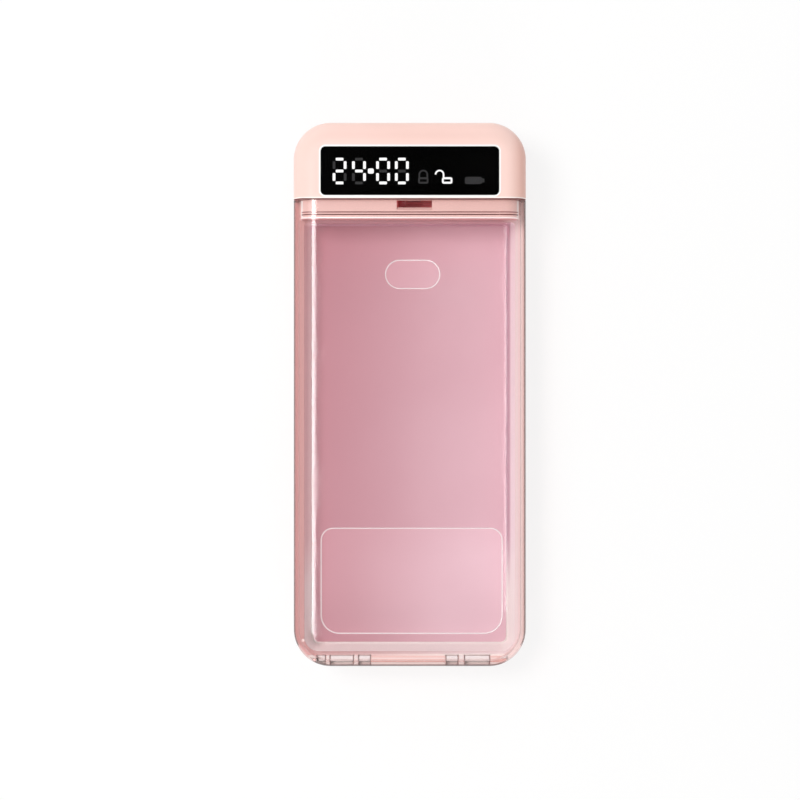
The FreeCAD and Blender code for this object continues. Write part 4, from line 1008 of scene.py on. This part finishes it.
def add_block(shape: bmesh.types.BMesh, low: Point, high: Point) -> None:
    """Draw a block between two corners.

    Args:
        shape: The mesh that is drawn.
        low: Its lowest x, y and z.
        high: Its highest x, y and z.
    """
    size = Vector(high) - Vector(low)
    middle = (Vector(high) + Vector(low)) / 2.0
    place = Matrix.Translation(middle) @ Matrix.Diagonal((*size, 1.0))
    bmesh.ops.create_cube(shape, size=1.0, matrix=place)


@dataclass(frozen=True)
class Saddle:
    """A thin curved cap that lies over part of a hinge barrel."""

    start: float
    end: float
    axis_y: float = -0.1083
    axis_z: float = 0.015
    inner: float = 0.00172
    outer: float = 0.00184
    angles: Pair = (12.0, 154.0)
    steps: int = 18

    def draw(self, shape: bmesh.types.BMesh) -> None:
        """Draw the cap.

        Args:
            shape: The mesh that is drawn.
        """
        first, last = self.angles
        start, end, inner, outer = self.start, self.end, self.inner, self.outer
        section = ((start, inner), (end, inner), (end, outer), (start, outer))
        rows = []
        for step in range(self.steps + 1):
            angle = math.radians(first + (last - first) * step / self.steps)
            across, up = math.cos(angle), math.sin(angle)
            places = ((x, self.axis_y + across * r, self.axis_z + up * r) for x, r in section)
            rows.append([shape.verts.new(place) for place in places])
        join_rows(shape, rows)


@dataclass(frozen=True)
class LedgeBead:
    """A fine bead along the ledge's front edge, over its shoulders and down its sides, which
    carries a painted highlight.
    """

    half: float = LEDGE_HALF
    level: float = 0.0272
    bend: float = 0.0052
    foot: float = 0.0160
    front_y: float = 0.0709
    back_y: float = 0.0716
    inset: float = 0.0003
    proud: float = 0.00006
    steps: int = 10

    def draw(self, shape: bmesh.types.BMesh) -> None:
        """Draw the bead.

        Args:
            shape: The mesh that is drawn.
        """
        rows = [self._row(shape, Vector((-self.half, self.foot)), Vector((-1.0, 0.0)))]
        middle_z = self.level - self.bend
        for middle_x, start in ((self.bend - self.half, 180.0), (self.half - self.bend, 90.0)):
            for step in range(self.steps + 1):
                angle = math.radians(start - 90.0 * step / self.steps)
                outward = Vector((math.cos(angle), math.sin(angle)))
                point = Vector((middle_x, middle_z)) + outward * self.bend
                rows.append(self._row(shape, point, outward))
        rows.append(self._row(shape, Vector((self.half, self.foot)), Vector((1.0, 0.0))))
        join_rows(shape, rows)

    def _row(
        self, shape: bmesh.types.BMesh, point: Vector, outward: Vector
    ) -> list[bmesh.types.BMVert]:
        """The bead's section at one point of the ledge's outline.

        Args:
            shape: The mesh that is drawn.
            point: Where on the outline, as x and z.
            outward: The direction out of the ledge there.

        Returns:
            The section's corners.
        """
        outer = point + outward * self.proud
        inner = point - outward * self.inset
        front, back = self.front_y, self.back_y
        section = ((outer, front), (outer, back), (inner, back), (inner, front))
        return [shape.verts.new((place.x, y, place.y)) for place, y in section]


def join_rows(shape: bmesh.types.BMesh, rows: list[list[bmesh.types.BMVert]]) -> None:
    """Skin a row of closed sections and cap both ends.

    Args:
        shape: The mesh that is drawn.
        rows: The sections, each with the same number of points.
    """
    for row, following in zip(rows, rows[1:]):
        for number, vert in enumerate(row):
            after = (number + 1) % len(row)
            shape.faces.new((vert, row[after], following[after], following[number]))
    shape.faces.new(rows[0][::-1])
    shape.faces.new(rows[-1])


def add_piece(
    name: str,
    shape: bmesh.types.BMesh,
    material: bpy.types.Material,
    body: Body,
    bevel: float = 0.0,
) -> None:
    """Turn a drawn mesh into a piece that rides on a body.

    Args:
        name: The piece's name.
        shape: The drawn mesh, which is used up.
        material: Its finish.
        body: The moving body that carries it.
        bevel: Width of the bevel on its edges, or 0 for none.
    """
    bmesh.ops.recalc_face_normals(shape, faces=shape.faces)
    mesh = bpy.data.meshes.new(name)
    shape.to_mesh(mesh)
    shape.free()
    mesh.shade_smooth()
    mesh.set_sharp_from_angle(angle=SHARP_ANGLE)
    mesh.materials.append(material)
    piece = bpy.data.objects.new(name, mesh)
    bpy.context.scene.collection.objects.link(piece)
    if bevel:
        rounding = piece.modifiers.new("rounding", "BEVEL")
        rounding.width = bevel
        rounding.segments = BEVEL_SEGMENTS
        rounding.harden_normals = True
    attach(piece, body.value)
    LOG.info("%s added on %s", name, body.value)


# ---------------------------------------------------------------- studio


@dataclass(frozen=True)
class Panel:
    """A soft rectangular lamp that points at the container, or straight down."""

    name: str
    place: Point
    size: Pair
    power: float
    colour: Colour = WHITE
    aimed: bool = True
    lights: bool = True
    shines: bool = True

    def light(self, aim: Vector) -> None:
        """Hang the lamp.

        Args:
            aim: The point that it faces if it is aimed.
        """
        data = bpy.data.lights.new(self.name, "AREA")
        data.shape = "RECTANGLE"
        data.size, data.size_y = self.size
        data.energy = self.power
        data.color = self.colour
        lamp = bpy.data.objects.new(self.name, data)
        lamp.location = self.place
        if self.aimed:
            way = aim - Vector(self.place)
            lamp.rotation_euler = way.to_track_quat("-Z", "Y").to_euler()
        lamp.visible_camera = False
        lamp.visible_diffuse = self.lights
        lamp.visible_glossy = self.shines
        bpy.context.scene.collection.objects.link(lamp)


@dataclass
class Studio:
    """Pale floor, white surround, soft lamps and the camera straight above."""

    floor_half: float = 3.0
    floor_colour: Colour = (0.8, 0.8, 0.8)
    floor_roughness: float = 0.9
    seen_colour: Colour = (0.20, 0.20, 0.20)
    near_lift: float = 0.785
    far_lift: float = 0.925
    lift_span: Pair = (0.08, 0.6)
    world_fill: float = 0.56
    horizon: float = 1.0
    zenith: float = 0.15
    dome_span: Pair = (0.2, 0.95)
    camera_place: Point = (-0.00397, -0.00223, 0.872)
    lens: float = 94.4
    sensor_width: float = 36.0
    clip: Pair = (0.01, 20.0)
    aim: Point = (0.0, 0.0, 0.01)
    panels: tuple[Panel, ...] = (
        Panel("key_panel", (-0.75, 0.35, 1.3), (0.6, 0.6), 12.3, (1.0, 0.985, 0.97), shines=False),
        Panel("front_panel", (0.0, -1.3, 0.6), (1.6, 1.1), 5.0, lights=False),
        Panel("end_panel", (0.1, 1.15, 0.55), (0.8, 0.4), 1.4, shines=False),
        Panel("hinge_panel", (0.0, -1.2, 0.5), (0.8, 0.4), 4.0, shines=False),
        Panel("left_strip", (-0.2025, -0.018, 1.2), (0.235, 0.44), 4.4, aimed=False, lights=False),
        Panel("left_fade", (-0.54, -0.018, 1.2), (0.44, 0.44), 1.3, aimed=False, lights=False),
        Panel("thin_strip", (0.0977, -0.02, 1.2), (0.0022, 0.37), 0.018, aimed=False, lights=False),
    )

    def build(self) -> None:
        """Set up everything round the container."""
        self._floor()
        self._world()
        for panel in self.panels:
            panel.light(Vector(self.aim))
        self._camera()
        bpy.context.scene.view_settings.view_transform = "Standard"

    def _floor(self) -> None:
        """Lay a pale floor that turns white for the camera but keeps shadows."""
        mesh = bpy.data.meshes.new("studio_floor")
        half = self.floor_half
        corners = [(-half, -half, 0), (half, -half, 0), (half, half, 0), (-half, half, 0)]
        mesh.from_pydata(corners, [], [(0, 1, 2, 3)])
        floor = bpy.data.objects.new("studio_floor", mesh)
        bpy.context.scene.collection.objects.link(floor)
        material = bpy.data.materials.new("studio_paper")
        sketch = Sketch(material)
        matte = {"Roughness": self.floor_roughness, "Specular IOR Level": 0.0}
        paper, page = (
            sketch.node("ShaderNodeBsdfPrincipled", inputs={"Base Color": colour, **matte}).out()
            for colour in (self.floor_colour, self.seen_colour)
        )
        near_lift, far_lift = (
            sketch.node("ShaderNodeEmission", inputs={"Color": WHITE, "Strength": lift}).out()
            for lift in (self.near_lift, self.far_lift)
        )
        x, y, _ = sketch.axes(sketch.place())
        lift = sketch.layer((x * x + y * y).rise(*self.lift_span), near_lift, far_lift)
        page = sketch.node("ShaderNodeAddShader", inputs={0: page, 1: lift}).out()
        seen = sketch.rays("Is Camera Ray", "Is Glossy Ray", "Is Transmission Ray")
        sketch.finish(sketch.layer(seen, paper, page))
        mesh.materials.append(material)

    def _world(self) -> None:
        """White surround that is seen and mirrored, dimmer overhead, and an even fill."""
        world = bpy.data.worlds.new("studio_world")
        bpy.context.scene.world = world
        sketch = Sketch(world)
        mirrored = sketch.rays("Is Glossy Ray")
        seen = sketch.rays("Is Camera Ray", "Is Transmission Ray")
        height = sketch.axes(sketch.node("ShaderNodeTexCoord").out("Generated"))[2]
        dome = self.horizon - height.rise(*self.dome_span) * (self.horizon - self.zenith)
        level = seen * (1.0 - self.world_fill) + self.world_fill
        level = mirrored * (dome - self.world_fill) + level
        sky = sketch.node("ShaderNodeBackground", inputs={"Color": WHITE, "Strength": level})
        sketch.finish(sky.out(), "ShaderNodeOutputWorld")

    def _camera(self) -> None:
        """Hang the camera straight above, with +Y up in the picture."""
        data = bpy.data.cameras.new("studio_camera")
        data.lens = self.lens
        data.sensor_width = self.sensor_width
        data.clip_start, data.clip_end = self.clip
        camera = bpy.data.objects.new("studio_camera", data)
        camera.location = self.camera_place
        bpy.context.scene.collection.objects.link(camera)
        bpy.context.scene.camera = camera


# ---------------------------------------------------------------- sub-assemblies


@dataclass
class CaseShell:
    """Back shell, head cover, feet and screws, with the pocket under the latch slot."""

    paint: Paintbox
    pocket_low: Point = (-0.0053, 0.0749, 0.0122)
    pocket_high: Point = (0.0098, 0.0799, 0.0252)
    pocket_wall: float = 0.0004
    pocket_back_gap: float = 0.0015
    sensor_span: Pair = (-0.00445, -0.00185)
    mouth_span: Pair = (-0.00445, 0.0052)
    mouth_top: float = 0.0190
    saddle_spans: tuple[Pair, ...] = ((-0.0340, -0.0328), (-0.0226, -0.0212), (0.0202, 0.0219))
    bead_bevel: float = 0.00008
    snap_low: Point = (-0.0439, -0.1009, 0.0150)
    snap_high: Point = (-0.0429, -0.0997, 0.0156)
    snap_bevel: float = 0.00025
    sill_low: Point = (0.04422, 0.0713, 0.0145)
    sill_high: Point = (0.04498, 0.0788, 0.0149)

    def build(self) -> None:
        """Dress the shell's solids and add its fine pieces."""
        self.paint.dress("base_shell", "head_cover", "rubber_feet", "cover_screws")
        self._pocket()
        self._bead()
        self._saddles()
        self._snap()
        self._sills()

    def _pocket(self) -> None:
        """A moulded pocket below the slot, open for the sensor and the bolt's nose; its red plastic
        has a painted glow.
        """
        shape = bmesh.new()
        (x0, y0, z0), (x1, y1, z1) = self.pocket_low, self.pocket_high
        wall = self.pocket_wall
        mouth_x0, mouth_x1 = self.mouth_span
        add_block(shape, (x0, y0, z0), (self.sensor_span[0], y1, z0 + wall))
        add_block(shape, (self.sensor_span[1], y0, z0), (x1, y1, z0 + wall))
        add_block(shape, (x0, y0, z0 + wall), (mouth_x0, y0 + wall, self.mouth_top))
        add_block(shape, (mouth_x1, y0, z0 + wall), (x1, y0 + wall, self.mouth_top))
        add_block(shape, (x0, y0, self.mouth_top), (x1, y0 + wall, z1))
        for start in (x0, x1 - wall):
            end = (start + wall, y1 - self.pocket_back_gap, z1)
            add_block(shape, (start, y0 + wall, z0 + wall), end)
        add_piece("latch_pocket", shape, self.paint.extra["pocket"], Body.CASE)

    def _bead(self) -> None:
        """The fine bead along the ledge's front edge, pale and glowing: a painted highlight."""
        shape = bmesh.new()
        LedgeBead().draw(shape)
        add_piece("ledge_bead", shape, self.paint.extra["bead"], Body.CASE, self.bead_bevel)

    def _saddles(self) -> None:
        """Pale caps over the shell's hinge barrels."""
        shape = bmesh.new()
        for start, end in self.saddle_spans:
            Saddle(start, end).draw(shape)
        add_piece("hinge_saddles", shape, self.paint.extra["saddle"], Body.CASE)

    def _snap(self) -> None:
        """A small snap on the tray's flange by the left hinge corner."""
        shape = bmesh.new()
        add_block(shape, self.snap_low, self.snap_high)
        add_piece("tray_snap", shape, self.paint.extra["saddle"], Body.CASE, self.snap_bevel)

    def _sills(self) -> None:
        """Strips that close the gap between the ledge's sides and the tub, below the lid."""
        shape = bmesh.new()
        (x0, y0, z0), (x1, y1, z1) = self.sill_low, self.sill_high
        for low_x, high_x in ((-x1, -x0), (x0, x1)):
            add_block(shape, (low_x, y0, z0), (high_x, y1, z1))
        add_piece("ledge_sills", shape, self.paint.made["pink_case"], Body.CASE)


@dataclass
class PhoneTray:
    """Inner tray and its lining."""

    paint: Paintbox

    def build(self) -> None:
        """Dress the tray's solids."""
        self.paint.dress("phone_tray", "phone_mat")


@dataclass
class ClearLid:
    """The clear lid with its hinge pins and the polished, milky rims of its openings, whose milky
    share is a painted highlight.
    """

    paint: Paintbox
    window: tuple[Pair, Pair] = ((-0.03585, -0.0961), (0.03725, -0.0535))
    window_radius: float = 0.0075
    window_far_radius: float = 0.0050
    pill: tuple[Pair, Pair] = ((-0.0100, 0.0423), (0.0122, 0.0541))
    top: float = 0.02998
    rim: float = 0.00042
    rim_gap: float = 0.00002
    rim_steps: int = 6

    def build(self) -> None:
        """Dress the lid and its pins and line its openings."""
        self.paint.dress("clear_lid", "hinge_pins")
        pill_radius = (self.pill[1][1] - self.pill[0][1]) / 2.0
        openings = {
            "window_rim": (*self.window, self.window_radius, self.window_far_radius),
            "pill_rim": (*self.pill, pill_radius, pill_radius),
        }
        for name, sizes in openings.items():
            shape = bmesh.new()
            Outline.rounded(*sizes).sweep(shape, self._profile())
            add_piece(name, shape, self.paint.extra["rim"], Body.LID)

    def _profile(self) -> tuple[Pair, ...]:
        """The rim's section: a quarter round that leans on the opening's wall."""
        curve = []
        for step in range(self.rim_steps + 1):
            angle = math.radians(90.0 * step / self.rim_steps)
            depth = self.rim_gap + self.rim * math.sin(angle)
            curve.append((depth, self.top - self.rim * (1.0 - math.cos(angle))))
        return (*curve, (self.rim_gap, self.top - self.rim))


@dataclass
class Display:
    """Window pane, frame, light pipes and the board behind them."""

    paint: Paintbox

    def build(self) -> None:
        """Dress the display's solids."""
        self.paint.dress("display_bezel", "display_lens", "display_mask", "display_board")
        self.paint.dress("lit_segments", "unlit_segments", "lit_icons", "unlit_icons")


@dataclass
class Mechanism:
    """Main board, cell, port, motor, latch and keys."""

    paint: Paintbox

    def build(self) -> None:
        """Dress the mechanism's solids."""
        self.paint.dress("main_board", "charging_port", "battery_cell", "flex_cable", "lid_sensor")
        self.paint.dress("gear_motor", "motor_strap", "drive_pinion", "latch_bolt")
        self.paint.dress("latch_chassis", "guide_cover", "guide_screws")
        self.paint.dress("key_switches", "hour_button", "minute_button", "lock_button")


def main() -> None:
    """Build the studio and dress each sub-assembly in order."""
    logging.basicConfig(level=logging.INFO, format="%(name)s: %(message)s")
    Studio().build()
    paint = Paintbox(frame["record"], frame["nodes"])
    for assembly in (CaseShell, PhoneTray, ClearLid, Display, Mechanism):
        assembly(paint).build()
        LOG.info("%s done", assembly.__name__)


if __name__ == "__main__":
    main()
